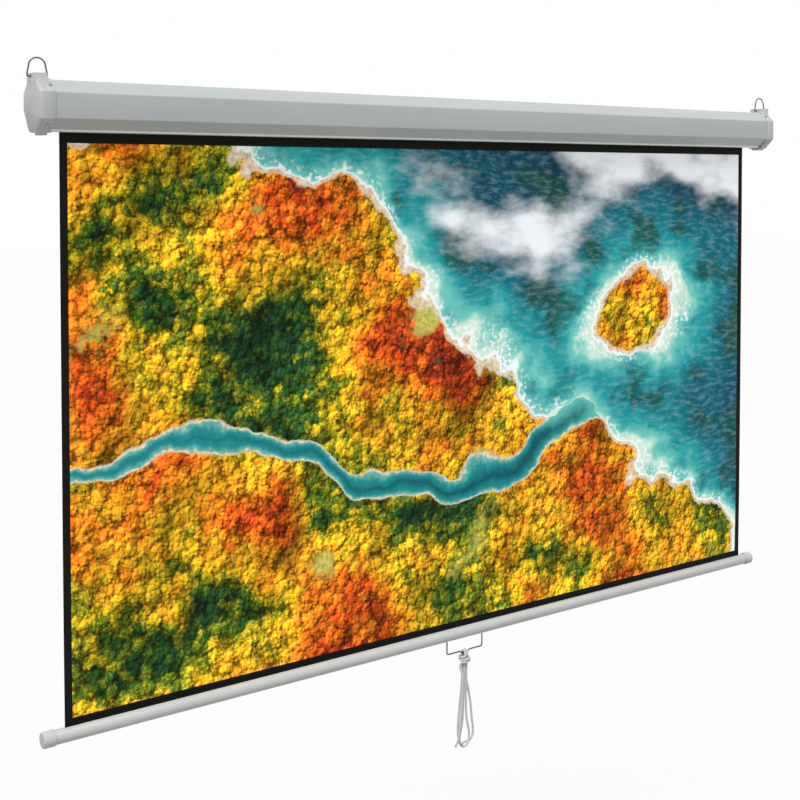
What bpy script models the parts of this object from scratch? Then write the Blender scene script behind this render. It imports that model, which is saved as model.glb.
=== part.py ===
"""A manual pull-down projection screen with a self-locking spring roller.

Metres, +Z up, +X along the case, +Y towards the wall. The origin lies midway between the
inner crowns of the two hanging rings. The screen is modelled pulled right down.
"""

import math

import bmesh
import bpy
import numpy as np
from mathutils import Matrix, Vector

# Clearance between fitted pieces, and how far a cutter reaches past what it cuts
FIT = 0.0003
CUT_OVERRUN = 0.001

# Case: a folded steel tube with eight sides, open along a slot at the bottom
CASE_HEIGHT = 0.0785
CASE_DEPTH = 0.067
CASE_CHAMFER = 0.0195
REAR_CHAMFER_HEIGHT = 0.032
CASE_SHEET = 0.001
FRONT_LIP = 0.0025
SLOT_FRONT_Y = 0.008
SLOT_REAR_Y = 0.020
SLOT_REAR_FLANGE = 0.004
SLOT_HEM = 0.003

# End caps; the lengths along X run outwards from the cap's open end
CAP_BEFORE_BRACKET = 0.011
CAP_WALL = 0.0015
CAP_STRAIGHT = 0.0175
CAP_ROUND_RADIUS = 0.008
CAP_ROUND_ANGLE = math.radians(65)
CAP_LENGTH = 0.0315
CAP_END_DEPTH = 0.015
CAP_END_HEIGHT = 0.028
CAP_END_CHAMFER = 0.0048
CAP_END_WALL = 0.0019
CASE_IN_CAP = 0.0165
PAD_INSET = 0.0035
PAD_LENGTH = 0.0215
PAD_LEAN = 0.002
PAD_DEPTH = 0.036
PAD_HEIGHT = 0.0075
PAD_ROOT = 0.020
FOOT_INSET = 0.0045
FOOT_LENGTH = 0.0105
FOOT_DEPTH = 0.026
FOOT_HEIGHT = 0.0037
PAD_ROUNDING = 0.002
POST_RADIUS = 0.004
POST_SPACING = 0.024

# Hanging rings
RING_WIRE = 0.0026
RING_INSET = 0.015
RING_WIDTH = 0.032
RING_CROWN = 0.027
RING_RISE = 0.0272
RING_PIVOT_HEIGHT = 0.0028
RING_BEND = 0.003
RING_GRIP = 0.0055

# Screws
SCREW_SHANK = 0.003
SCREW_HEAD = 0.006
SCREW_HEAD_TOP = 0.0036
SCREW_HEAD_HEIGHT = 0.0016
CAP_SCREW_LENGTH = 0.008
CAP_SCREW_INSET = 0.0055
BRACKET_SCREW_LENGTH = 0.012

# Roller and its bearings
ROLLER_OVERHANG = 0.020
ROLLER_RADIUS = 0.0125
ROLLER_WALL = 0.0009
BRACKET_SHEET = 0.002
BRACKET_FOOT = 0.020
PLUG_LENGTH = 0.020
FLANGE_RADIUS = 0.0205
FLANGE_THICKNESS = 0.003
RATCHET_ROOM = 0.0104
SPINDLE_REACH = 0.004
JOURNAL_RADIUS = 0.004
JOURNAL_TIP = 0.001
BUSH_RADIUS = 0.0063
BUSH_FLANGE = 0.0085
BUSH_FLANGE_THICKNESS = 0.0015
SPEAR_SIDE = 0.006
SPEAR_IN_ROLLER = 0.230

# Ratchet
HUB_RADIUS = 0.009
HUB_THICKNESS = 0.005
HUB_BOSS_RADIUS = 0.0062
NOTCH_WIDTH = 0.0039
NOTCH_FLOOR = 0.0064
NOTCH_OFFSET = 0.00035
PAWL_PIVOT_Y = 0.013
PAWL_PIVOT_Z = 0.0112
PAWL_THICKNESS = 0.004
PAWL_ARM = 0.0028
PAWL_ARM_RISE = 0.0018
PAWL_EYE_RADIUS = 0.0033
PAWL_TOOTH_WIDTH = 0.0026
PAWL_TOOTH_TIP = 0.0094
PAWL_PIN_RADIUS = 0.0014
PAWL_PIN_DEPTH = 0.0024
PAWL_PIN_HEAD_RADIUS = 0.0024
PAWL_PIN_HEAD_THICKNESS = 0.0008

# Torsion spring round the spear
SPRING_WIRE = 0.0018
SPRING_RADIUS = 0.0080
SPRING_CURLS = 24
SPRING_CURL_POINTS = 9
ANCHOR_LENGTH = 0.018

# Fabric
FABRIC_WIDTH = 1.620
FABRIC_THICKNESS = 0.0005
FABRIC_Y = 0.015
WRAP_TURNS = 2
WRAP_POINTS = 26

# Bottom bar
BAR_RADIUS = 0.0115
BAR_WALL = 0.0012
BAR_CENTRE_Z = -1.0518
BAR_SLOT = 0.0012
BAR_CAP_RADIUS = 0.0129
BAR_CAP_REACH = 0.0375
BAR_CAP_LENGTH = 0.020
BAR_CAP_END_WALL = 0.004
BAR_CAP_ROUNDING = 0.003
BORDER_DROP = 0.0118
HEM_ROD_RADIUS = 0.0025
HEM_ROD_INSET = 0.002
HEM_ROD_Z = 0.0042
HEM_SWEEP = math.radians(300)

# Pull handle
HANDLE_WIRE = 0.0028
HANDLE_WIDTH = 0.087
HANDLE_PIVOT_DROP = 0.0063
HANDLE_DROP = 0.031
HANDLE_BEND = 0.004
HANDLE_TOP_BEND = 0.0024
HANDLE_TURN_IN = 0.008
DIP_DEPTH = 0.0035
DIP_FLAT = 0.014
DIP_WIDTH = 0.024
LEG_SLOT_WIDTH = 0.0044
LEG_SLOT_DEPTH = 0.014
KEEPER_SHEET = 0.0015
KEEPER_TOP_DROP = 0.0032
KEEPER_EAR_X = 0.0385

# Pull cord
CORD_DIAMETER = 0.0042
CORD_SPACING = 0.0049
CORD_RAIL_GAP = 0.0006
CORD_OVER_RAIL = [math.radians(angle) for angle in (152, 121, 90, 59, 28, -8)]
CORD_WRAP_RADIUS = 0.0098
CORD_WRAP_TAPER = 0.0005
CORD_WRAP_TURNS = 2
CORD_WRAP_POINTS = 9
CORD_WRAP_PITCH = 0.0050
CORD_WRAP_TOP = 0.0075
CORD_WRAP_END = math.radians(-150)
CORD_STEPS = 2

# Heights that follow from the sizes above
RING_PIVOT_Z = -RING_RISE
SLEEVE_TOP = RING_PIVOT_Z - RING_PIVOT_HEIGHT
CASE_CENTRE_Z = SLEEVE_TOP - CAP_WALL - FIT - CASE_HEIGHT / 2
SLEEVE_BOTTOM = CASE_CENTRE_Z - CASE_HEIGHT / 2 - FIT - CAP_WALL
HANDLE_PIVOT_Z = BAR_CENTRE_Z - HANDLE_PIVOT_DROP
CORD_PIVOT_Z = HANDLE_PIVOT_Z - HANDLE_DROP - DIP_DEPTH
BORDER_TOP = BAR_CENTRE_Z + BAR_RADIUS + BORDER_DROP

# Places along X, from the fabric's edge outwards
FABRIC_EDGE = FABRIC_WIDTH / 2
ROLLER_END = FABRIC_EDGE + ROLLER_OVERHANG
FLANGE_FACE = ROLLER_END + FIT + FLANGE_THICKNESS
PAWL_START = FLANGE_FACE + FIT
PAWL_PIN_START = FLANGE_FACE - PAWL_PIN_DEPTH
BRACKET_FACE = PAWL_START + RATCHET_ROOM
BRACKET_BACK = BRACKET_FACE + BRACKET_SHEET
SPINDLE_END = BRACKET_BACK + SPINDLE_REACH
SPEAR_START = ROLLER_END - SPEAR_IN_ROLLER
CAP_START = BRACKET_BACK - CAP_BEFORE_BRACKET
CAP_ROUND_START = CAP_START + CAP_STRAIGHT
CAP_END = CAP_START + CAP_LENGTH
CAP_SCREW_X = CAP_START + CAP_SCREW_INSET
PAD_START = CAP_START + PAD_INSET
PAD_END = PAD_START + PAD_LENGTH
FOOT_START = CAP_START + FOOT_INSET
FOOT_END = FOOT_START + FOOT_LENGTH
RING_X = CAP_START + RING_INSET
BAR_CAP_END = FABRIC_EDGE + BAR_CAP_REACH


def clear_scene():
    for thing in list(bpy.data.objects):
        bpy.data.objects.remove(thing, do_unlink=True)


def finish_of(name, colour, roughness, metallic):
    material = bpy.data.materials.new(name)
    material.use_nodes = True
    shader = material.node_tree.nodes["Principled BSDF"]
    shader.inputs["Base Color"].default_value = (*colour, 1)
    shader.inputs["Roughness"].default_value = roughness
    shader.inputs["Metallic"].default_value = metallic
    material.diffuse_color = (*colour, 1)
    return material


FINISHES = {
    "painted steel": ((0.80, 0.81, 0.79), 0.45, 0.0),
    "cap plastic": ((0.78, 0.79, 0.77), 0.50, 0.0),
    "nickel wire": ((0.45, 0.44, 0.42), 0.30, 1.0),
    "zinc steel": ((0.60, 0.61, 0.62), 0.40, 1.0),
    "spring steel": ((0.30, 0.29, 0.28), 0.35, 1.0),
    "aluminium": ((0.82, 0.83, 0.84), 0.35, 1.0),
    "nylon": ((0.90, 0.90, 0.86), 0.45, 0.0),
    "screen fabric": ((0.70, 0.70, 0.68), 0.80, 0.0),
    "black border": ((0.02, 0.02, 0.02), 0.75, 0.0),
    "cord": ((0.85, 0.85, 0.83), 0.80, 0.0),
    "pvc rod": ((0.75, 0.76, 0.78), 0.50, 0.0),
}


def add_object(name, data, finish, origin=(0, 0, 0)):
    obj = bpy.data.objects.new(name, data)
    bpy.context.collection.objects.link(obj)
    obj.location = origin
    obj.data.materials.append(finish_of(f"{name} {finish}", *FINISHES[finish]))
    return obj


def mesh_object(name, bm, finish, origin=(0, 0, 0), smooth=False):
    """Turn world-space mesh code into an object whose origin is at the given point."""
    bmesh.ops.recalc_face_normals(bm, faces=bm.faces)
    bmesh.ops.translate(bm, verts=bm.verts, vec=-Vector(origin))
    mesh = bpy.data.meshes.new(name)
    bm.to_mesh(mesh)
    bm.free()
    if smooth:
        mesh.shade_smooth()
        mesh.set_sharp_from_angle(angle=math.radians(35))
    return add_object(name, mesh, finish, origin)


def add_boolean(obj, operation, tools):
    """Cut with, join with or keep the overlap with helper meshes, which stay hidden."""
    for number, bm in enumerate(tools):
        bmesh.ops.recalc_face_normals(bm, faces=bm.faces)
        mesh = bpy.data.meshes.new(f"{obj.name} tool")
        bm.to_mesh(mesh)
        bm.free()
        tool = bpy.data.objects.new(f"{obj.name}_{operation.lower()}_{number}", mesh)
        bpy.context.collection.objects.link(tool)
        tool.hide_render = True
        tool.display_type = "WIRE"
        modifier = obj.modifiers.new(f"{operation} {number}", "BOOLEAN")
        modifier.operation = operation
        modifier.solver = "EXACT"
        modifier.object = tool


def right_normal(start, end):
    along = (end - start).normalized()
    return Vector((along.y, -along.x))


def offset_path(points, distance, closed=False):
    """Move an outline to the right of its travel by a distance, with mitred corners."""
    points = [Vector(point) for point in points]
    count = len(points)
    moved = []
    for index, point in enumerate(points):
        sides = []
        if closed or index > 0:
            sides.append(right_normal(points[index - 1], point))
        if closed or index < count - 1:
            sides.append(right_normal(point, points[(index + 1) % count]))
        middle = sum(sides, Vector((0, 0))).normalized()
        moved.append(point + middle * (distance / middle.dot(sides[0])))
    return moved


def case_outline(inset=0.0):
    """The case's eight corners as (y, z) from its centre, clockwise seen from +X."""
    half_depth, half_height = CASE_DEPTH / 2, CASE_HEIGHT / 2
    flat = half_depth - CASE_CHAMFER
    shoulder = half_height - CASE_CHAMFER
    corners = [
        (-flat, -half_height),
        (-half_depth, -shoulder),
        (-half_depth, shoulder),
        (-flat, half_height),
        (flat, half_height),
        (half_depth, shoulder),
        (half_depth, REAR_CHAMFER_HEIGHT - half_height),
        (flat, -half_height),
    ]
    return offset_path(corners, inset, closed=True)


def cap_end_outline():
    """The flat end face of a cap, eight-sided like the case."""
    half_depth, half_height = CAP_END_DEPTH / 2, CAP_END_HEIGHT / 2
    flat, shoulder = half_depth - CAP_END_CHAMFER, half_height - CAP_END_CHAMFER
    corners = [
        (-flat, -half_height),
        (-half_depth, -shoulder),
        (-half_depth, shoulder),
        (-flat, half_height),
        (flat, half_height),
        (half_depth, shoulder),
        (half_depth, -shoulder),
        (flat, -half_height),
    ]
    return [Vector(corner) for corner in corners]


def cut_below(points, level):
    """Cut a convex outline off below a height."""
    kept = []
    for index, point in enumerate(points):
        before = points[index - 1]
        if (before.y < level) != (point.y < level):
            share = (level - before.y) / (point.y - before.y)
            kept.append(before.lerp(point, share))
        if point.y >= level:
            kept.append(point)
    return kept


def ring_of(bm, outline, x, centre=(0.0, CASE_CENTRE_Z)):
    return [bm.verts.new((x, centre[0] + y, centre[1] + z)) for y, z in outline]


def bridge(bm, first, second):
    count = len(first)
    for index in range(count):
        after = (index + 1) % count
        bm.faces.new((first[index], first[after], second[after], second[index]))


def prism(outline, x_start, x_end, centre=(0.0, CASE_CENTRE_Z)):
    """A (y, z) outline drawn out along X."""
    bm = bmesh.new()
    face = bm.faces.new(ring_of(bm, outline, x_start, centre))
    drawn = bmesh.ops.extrude_face_region(bm, geom=[face])["geom"]
    moved = [item for item in drawn if isinstance(item, bmesh.types.BMVert)]
    bmesh.ops.translate(bm, verts=moved, vec=(x_end - x_start, 0, 0))
    return bm


def ribbon(path, thickness, x_start, x_end, centre):
    """A sheet bent along an open (y, z) path, its thickness to the right of the travel."""
    bm = bmesh.new()
    outer = ring_of(bm, [Vector(point) for point in path], x_start, centre)
    inner = ring_of(bm, offset_path(path, thickness), x_start, centre)
    faces = []
    for index in range(len(path) - 1):
        corners = (outer[index], outer[index + 1], inner[index + 1], inner[index])
        faces.append(bm.faces.new(corners))
    drawn = bmesh.ops.extrude_face_region(bm, geom=faces)["geom"]
    moved = [item for item in drawn if isinstance(item, bmesh.types.BMVert)]
    bmesh.ops.translate(bm, verts=moved, vec=(x_end - x_start, 0, 0))
    return bm


def turned(profile, segments, centre=(0.0, CASE_CENTRE_Z)):
    """Spin a closed profile of (x, radius) points about an axis along X."""
    bm = bmesh.new()
    verts = [bm.verts.new((x, 0, radius)) for x, radius in profile]
    edges = []
    for index, vert in enumerate(verts):
        edges.append(bm.edges.new((vert, verts[(index + 1) % len(verts)])))
    bmesh.ops.spin(
        bm,
        geom=verts + edges,
        cent=(0, 0, 0),
        axis=(1, 0, 0),
        angle=2 * math.pi,
        steps=segments,
        use_merge=True,
    )
    bmesh.ops.remove_doubles(bm, verts=bm.verts, dist=1e-6)
    bmesh.ops.translate(bm, verts=bm.verts, vec=(0, centre[0], centre[1]))
    return bm


def rod(x_start, x_end, radius, segments=24, centre=(0.0, CASE_CENTRE_Z)):
    profile = [(x_start, 0), (x_start, radius), (x_end, radius), (x_end, 0)]
    return turned(profile, segments, centre)


def block(low, high):
    bm = bmesh.new()
    bmesh.ops.create_cube(bm, size=1)
    low, high = Vector(low), Vector(high)
    bmesh.ops.scale(bm, verts=bm.verts, vec=high - low)
    bmesh.ops.translate(bm, verts=bm.verts, vec=(high + low) / 2)
    return bm


def mirror_x(bm, side):
    if side < 0:
        bmesh.ops.scale(bm, verts=bm.verts, vec=(-1, 1, 1))
    return bm


def side_name(side):
    return "left" if side < 0 else "right"


def arc(centre, radius, start, end, steps):
    """Points on an arc, as (x, z) pairs; the angles are in degrees."""
    angles = np.radians(np.linspace(start, end, steps + 1))
    return [(centre[0] + radius * math.cos(a), centre[1] + radius * math.sin(a)) for a in angles]


def tube(name, points, radius, finish, origin=(0, 0, 0), resolution=2):
    """A wire or cord: a curve through world points, its origin at the given point."""
    curve = bpy.data.curves.new(name, "CURVE")
    curve.dimensions = "3D"
    curve.bevel_depth = radius
    curve.bevel_resolution = resolution
    curve.use_fill_caps = True
    spline = curve.splines.new("POLY")
    spline.points.add(len(points) - 1)
    spline.use_smooth = True
    for target, point in zip(spline.points, points):
        target.co = (*(Vector(point) - Vector(origin)), 1)
    return add_object(name, curve, finish, origin)


def least_gap(points, diameter, skip):
    """The least surface gap between stretches of a tube that are not neighbours."""
    points = np.array([tuple(point) for point in points])
    best = math.inf
    for index in range(len(points) - skip):
        away = np.linalg.norm(points[index + skip :] - points[index], axis=1)
        best = min(best, float(away.min()))
    return best - diameter


def make_case():
    outline = case_outline()
    flat, half_depth = CASE_DEPTH / 2 - CASE_CHAMFER, CASE_DEPTH / 2
    bottom = -CASE_HEIGHT / 2
    rear_run = (half_depth - SLOT_REAR_Y - SLOT_REAR_FLANGE) / CASE_CHAMFER
    rear_z = bottom + REAR_CHAMFER_HEIGHT * (1 - rear_run)
    path = [
        (SLOT_FRONT_Y, bottom + SLOT_HEM),
        (SLOT_FRONT_Y, bottom),
        (-flat, bottom),
        (-flat, bottom + FRONT_LIP),
        *[tuple(corner) for corner in outline[1:7]],
        (SLOT_REAR_Y + SLOT_REAR_FLANGE, rear_z),
        (SLOT_REAR_Y, rear_z),
    ]
    end = CAP_START + CASE_IN_CAP
    shell = ribbon(path, CASE_SHEET, -end, end, (0.0, CASE_CENTRE_Z))
    case = mesh_object("case_shell", shell, "painted steel")
    holes = []
    for side in (-1, 1):
        for face in (-1, 1):
            hole = screw_body(SCREW_SHANK / 2 + FIT, 2 * CAP_SCREW_LENGTH)
            bmesh.ops.transform(hole, matrix=cap_screw_place(side, face), verts=hole.verts)
            holes.append(hole)
    add_boolean(case, "DIFFERENCE", holes)


def screw_body(radius, length):
    bm = bmesh.new()
    bmesh.ops.create_cone(
        bm,
        cap_ends=True,
        segments=16,
        radius1=radius,
        radius2=radius,
        depth=length,
    )
    return bm


def cap_screw_place(side, face):
    """Where a cap screw's head sits: on the cap's upper front or upper rear chamfer."""
    half_depth, half_height = CASE_DEPTH / 2, CASE_HEIGHT / 2
    reach = FIT + CAP_WALL + FIT
    lean = math.radians(45)
    y = face * (half_depth - CASE_CHAMFER / 2 + reach * math.sin(lean))
    z = CASE_CENTRE_Z + half_height - CASE_CHAMFER / 2 + reach * math.cos(lean)
    turn = Matrix.Rotation(-face * lean, 4, "X")
    return Matrix.Translation((side * CAP_SCREW_X, y, z)) @ turn


def make_screw(name, place, length):
    """A pan-head screw: its head's underside is at the place, its shank runs down -Z."""
    shank, head = SCREW_SHANK / 2, SCREW_HEAD / 2
    profile = [
        (-length, 0),
        (-length + shank, shank),
        (0, shank),
        (0, head),
        (SCREW_HEAD_HEIGHT / 2, head),
        (SCREW_HEAD_HEIGHT, SCREW_HEAD_TOP / 2),
        (SCREW_HEAD_HEIGHT, 0),
    ]
    bm = turned(profile, 20, (0, 0))
    upright = Matrix.Rotation(math.radians(-90), 4, "Y")
    bmesh.ops.transform(bm, matrix=place @ upright, verts=bm.verts)
    return mesh_object(name, bm, "zinc steel", smooth=True)


def cap_rings():
    """The cap's outer and inner surfaces as (x, outline) rings."""
    rim = FIT + CAP_WALL
    outer = [(CAP_START, case_outline(-rim))]
    for step in range(5):
        angle = CAP_ROUND_ANGLE * step / 4
        x = CAP_ROUND_START + CAP_ROUND_RADIUS * math.sin(angle)
        inset = CAP_ROUND_RADIUS * (1 - math.cos(angle))
        outer.append((x, case_outline(inset - rim)))
    outer.append((CAP_END, cap_end_outline()))
    shoulder_x = outer[-2][0] - CAP_END_WALL
    shoulder = CAP_ROUND_RADIUS * (1 - math.cos(CAP_ROUND_ANGLE))
    inner = [
        (CAP_START - CAP_WALL, case_outline(-FIT)),
        (CAP_ROUND_START, case_outline(-FIT)),
        (shoulder_x, case_outline(shoulder - rim)),
        (CAP_END - CAP_END_WALL, cap_end_outline()),
    ]
    return outer, inner


def cap_pad(start, end, depth, base, top, lean):
    """A pad that rises from the cap's wall between two heights, its upright edges rounded."""
    corners = [(start, base), (start + lean, top), (end, top), (end, base)]
    bm = bmesh.new()
    face = bm.faces.new([bm.verts.new((x, -depth / 2, z)) for x, z in corners])
    drawn = bmesh.ops.extrude_face_region(bm, geom=[face])["geom"]
    moved = [item for item in drawn if isinstance(item, bmesh.types.BMVert)]
    bmesh.ops.translate(bm, verts=moved, vec=(0, depth, 0))
    upright = []
    for edge in bm.edges:
        along = edge.verts[0].co - edge.verts[1].co
        if abs(along.z) > abs(along.x) + abs(along.y):
            upright.append(edge)
    bmesh.ops.bevel(
        bm,
        geom=upright,
        offset=PAD_ROUNDING,
        segments=3,
        profile=0.5,
        affect="EDGES",
        material=-1,
    )
    return bm


def lofted(rings):
    """A closed body through (x, outline) rings."""
    bm = bmesh.new()
    loops = [ring_of(bm, outline, x) for x, outline in rings]
    for first, second in zip(loops, loops[1:]):
        bridge(bm, first, second)
    bm.faces.new(loops[0])
    bm.faces.new(loops[-1])
    return bm


def make_end_cap(side):
    outer, inner = cap_rings()
    bm = mirror_x(lofted(outer), side)
    cap = mesh_object(f"end_cap_{side_name(side)}", bm, "cap plastic", smooth=True)
    top = SLEEVE_TOP + PAD_HEIGHT
    foot_top = SLEEVE_BOTTOM + CASE_CHAMFER
    pads = [
        cap_pad(PAD_START, PAD_END, PAD_DEPTH, top - PAD_ROOT, top, PAD_LEAN),
        cap_pad(FOOT_START, FOOT_END, FOOT_DEPTH, SLEEVE_BOTTOM - FOOT_HEIGHT, foot_top, 0),
    ]
    add_boolean(cap, "UNION", [mirror_x(pad, side) for pad in pads])
    add_boolean(cap, "DIFFERENCE", [mirror_x(lofted(inner), side)])
    posts, holes = [], []
    post_end = CAP_END - CAP_END_WALL / 2
    for level in (-1, 1):
        centre = (0.0, CASE_CENTRE_Z + level * POST_SPACING / 2)
        posts.append(rod(BRACKET_BACK + FIT, post_end, POST_RADIUS, 20, centre))
        depth = BRACKET_FACE + BRACKET_SCREW_LENGTH
        holes.append(rod(BRACKET_BACK, depth, SCREW_SHANK / 2 + FIT, 16, centre))
    add_boolean(cap, "UNION", [mirror_x(post, side) for post in posts])
    pivot = (0.0, RING_PIVOT_Z)
    wire_hole = RING_WIRE / 2 + FIT
    inner_foot, outer_foot = ring_feet()
    holes.append(rod(PAD_START - CUT_OVERRUN, inner_foot + FIT, wire_hole, 16, pivot))
    holes.append(rod(outer_foot - FIT, PAD_END + CUT_OVERRUN, wire_hole, 16, pivot))
    holes = [mirror_x(hole, side) for hole in holes]
    for face in (-1, 1):
        hole = screw_body(SCREW_SHANK / 2 + FIT, 2 * CAP_SCREW_LENGTH)
        bmesh.ops.transform(hole, matrix=cap_screw_place(side, face), verts=hole.verts)
        holes.append(hole)
    add_boolean(cap, "DIFFERENCE", holes)


def ring_feet():
    """Where the two turned-in ends of a hanging ring stop, along X."""
    leaning_face = PAD_START + PAD_LEAN / 2
    return leaning_face + RING_GRIP, PAD_END - RING_GRIP


def make_hanging_ring(side):
    """A bail of bent wire whose two feet turn inwards into the pad's ends."""
    crown, half = RING_CROWN / 2, RING_WIDTH / 2
    crown_z = RING_WIRE / 2 - crown
    inner_foot, outer_foot = ring_feet()
    inner_leg, outer_leg = RING_X - half, RING_X + half
    low = RING_PIVOT_Z + RING_BEND
    path = [(inner_foot, RING_PIVOT_Z)]
    path += arc((inner_leg + RING_BEND, low), RING_BEND, 270, 180, 4)
    path += arc((RING_X, crown_z), crown, 176, 4, 18)
    path += arc((outer_leg - RING_BEND, low), RING_BEND, 0, -90, 4)
    path.append((outer_foot, RING_PIVOT_Z))
    points = [(side * x, 0.0, z) for x, z in path]
    origin = (side * RING_X, 0.0, RING_PIVOT_Z)
    name = f"hanging_ring_{side_name(side)}"
    tube(name, points, RING_WIRE / 2, "nickel wire", origin)


def bracket_outline():
    foot_level = -BRACKET_FOOT + FIT
    return cut_below(case_outline(CASE_SHEET + FIT), foot_level)


def make_bracket(side):
    bm = prism(bracket_outline(), side * BRACKET_FACE, side * BRACKET_BACK)
    bracket = mesh_object(f"bracket_{side_name(side)}", bm, "zinc steel")
    holes = []
    through = (side * (BRACKET_FACE - CUT_OVERRUN), side * (BRACKET_BACK + CUT_OVERRUN))
    for level in (-1, 1):
        centre = (0.0, CASE_CENTRE_Z + level * POST_SPACING / 2)
        holes.append(rod(min(through), max(through), SCREW_SHANK / 2 + FIT, 16, centre))
    if side > 0:
        reach = SPEAR_SIDE / 2 + FIT
        low = (min(through), -reach, CASE_CENTRE_Z - reach)
        high = (max(through), reach, CASE_CENTRE_Z + reach)
        holes.append(block(low, high))
    else:
        holes.append(rod(min(through), max(through), BUSH_RADIUS + FIT, 24))
    add_boolean(bracket, "DIFFERENCE", holes)
    for number, level in enumerate((-1, 1), start=1):
        head = (side * (BRACKET_FACE - FIT), 0, CASE_CENTRE_Z + level * POST_SPACING / 2)
        turn = Matrix.Rotation(math.radians(-90 * side), 4, "Y")
        place = Matrix.Translation(head) @ turn
        make_screw(f"bracket_screw_{side_name(side)}_{number}", place, BRACKET_SCREW_LENGTH)


def make_roller():
    inner = ROLLER_RADIUS - ROLLER_WALL
    profile = [
        (-ROLLER_END, inner),
        (-ROLLER_END, ROLLER_RADIUS),
        (ROLLER_END, ROLLER_RADIUS),
        (ROLLER_END, inner),
    ]
    origin = (0, 0, CASE_CENTRE_Z)
    mesh_object("roller_tube", turned(profile, 32), "zinc steel", origin, smooth=True)


def make_idle_end():
    barrel = ROLLER_RADIUS - ROLLER_WALL - FIT
    inside = ROLLER_END - PLUG_LENGTH
    profile = [
        (-inside, 0),
        (-inside, barrel),
        (-ROLLER_END - FIT, barrel),
        (-ROLLER_END - FIT, FLANGE_RADIUS),
        (-FLANGE_FACE, FLANGE_RADIUS),
        (-FLANGE_FACE, JOURNAL_RADIUS),
        (-SPINDLE_END + JOURNAL_TIP, JOURNAL_RADIUS),
        (-SPINDLE_END, JOURNAL_RADIUS - JOURNAL_TIP),
        (-SPINDLE_END, 0),
    ]
    origin = (0, 0, CASE_CENTRE_Z)
    mesh_object("idle_end_plug", turned(profile, 32), "nylon", origin, smooth=True)
    bore = JOURNAL_RADIUS + FIT
    flange_start = BRACKET_FACE - FIT
    bush = [
        (-BRACKET_BACK, bore),
        (-BRACKET_BACK, BUSH_RADIUS),
        (-flange_start, BUSH_RADIUS),
        (-flange_start, BUSH_FLANGE),
        (-flange_start + BUSH_FLANGE_THICKNESS, BUSH_FLANGE),
        (-flange_start + BUSH_FLANGE_THICKNESS, bore),
    ]
    mesh_object("journal_bush", turned(bush, 28), "nylon", smooth=True)


def pawl_pivot(number):
    """The pawl pivots as (y, z) from the roller's axis; the second is half a turn round."""
    sign = 1 if number == 1 else -1
    return Vector((sign * PAWL_PIVOT_Y, sign * PAWL_PIVOT_Z))


def make_spring_end():
    """The roller's driving plug: it carries the pawls and turns on the fixed spear."""
    barrel = ROLLER_RADIUS - ROLLER_WALL - FIT
    bore = SPEAR_SIDE / 2 * math.sqrt(2) + FIT
    inside = ROLLER_END - PLUG_LENGTH
    profile = [
        (inside, bore),
        (inside, barrel),
        (ROLLER_END + FIT, barrel),
        (ROLLER_END + FIT, FLANGE_RADIUS),
        (FLANGE_FACE, FLANGE_RADIUS),
        (FLANGE_FACE, bore),
    ]
    origin = (0, 0, CASE_CENTRE_Z)
    plug = mesh_object("spring_end_plug", turned(profile, 32), "nylon", origin, smooth=True)
    holes = []
    for number in (1, 2):
        pivot = pawl_pivot(number)
        centre = (pivot.x, CASE_CENTRE_Z + pivot.y)
        end = FLANGE_FACE + CUT_OVERRUN
        holes.append(rod(PAWL_PIN_START, end, PAWL_PIN_RADIUS + FIT, 16, centre))
    add_boolean(plug, "DIFFERENCE", holes)


def pawl_outline():
    """Pawl 1 as (y, z) from the roller's axis: an eye, an arm and a tooth over a notch."""
    pivot = pawl_pivot(1)
    half_arm, half_tooth = PAWL_ARM / 2, PAWL_TOOTH_WIDTH / 2
    nose = Vector((-half_tooth, pivot.y + PAWL_ARM_RISE + half_arm))
    under = nose.y - PAWL_ARM
    outline = [
        Vector((-half_tooth, PAWL_TOOTH_TIP)),
        nose,
    ]
    eye = np.radians(np.linspace(100, -115, 12))
    for angle in eye:
        spoke = Vector((math.cos(angle), math.sin(angle)))
        outline.append(pivot + PAWL_EYE_RADIUS * spoke)
    outline.append(Vector((half_tooth, under)))
    outline.append(Vector((half_tooth, PAWL_TOOTH_TIP)))
    return outline


def make_pawls():
    for number in (1, 2):
        pivot = pawl_pivot(number)
        turn = 1 if number == 1 else -1
        outline = [turn * point for point in pawl_outline()]
        end = PAWL_START + PAWL_THICKNESS
        origin = (PAWL_START, pivot.x, CASE_CENTRE_Z + pivot.y)
        pawl = mesh_object(f"pawl_{number}", prism(outline, PAWL_START, end), "zinc steel", origin)
        centre = (pivot.x, CASE_CENTRE_Z + pivot.y)
        start, stop = PAWL_START - CUT_OVERRUN, end + CUT_OVERRUN
        add_boolean(pawl, "DIFFERENCE", [rod(start, stop, PAWL_PIN_RADIUS + FIT, 16, centre)])
        pin = [
            (PAWL_PIN_START + FIT, 0),
            (PAWL_PIN_START + FIT, PAWL_PIN_RADIUS),
            (end + FIT, PAWL_PIN_RADIUS),
            (end + FIT, PAWL_PIN_HEAD_RADIUS),
            (end + FIT + PAWL_PIN_HEAD_THICKNESS, PAWL_PIN_HEAD_RADIUS),
            (end + FIT + PAWL_PIN_HEAD_THICKNESS, 0),
        ]
        mesh_object(f"pawl_pin_{number}", turned(pin, 16, centre), "zinc steel", smooth=True)


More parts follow.
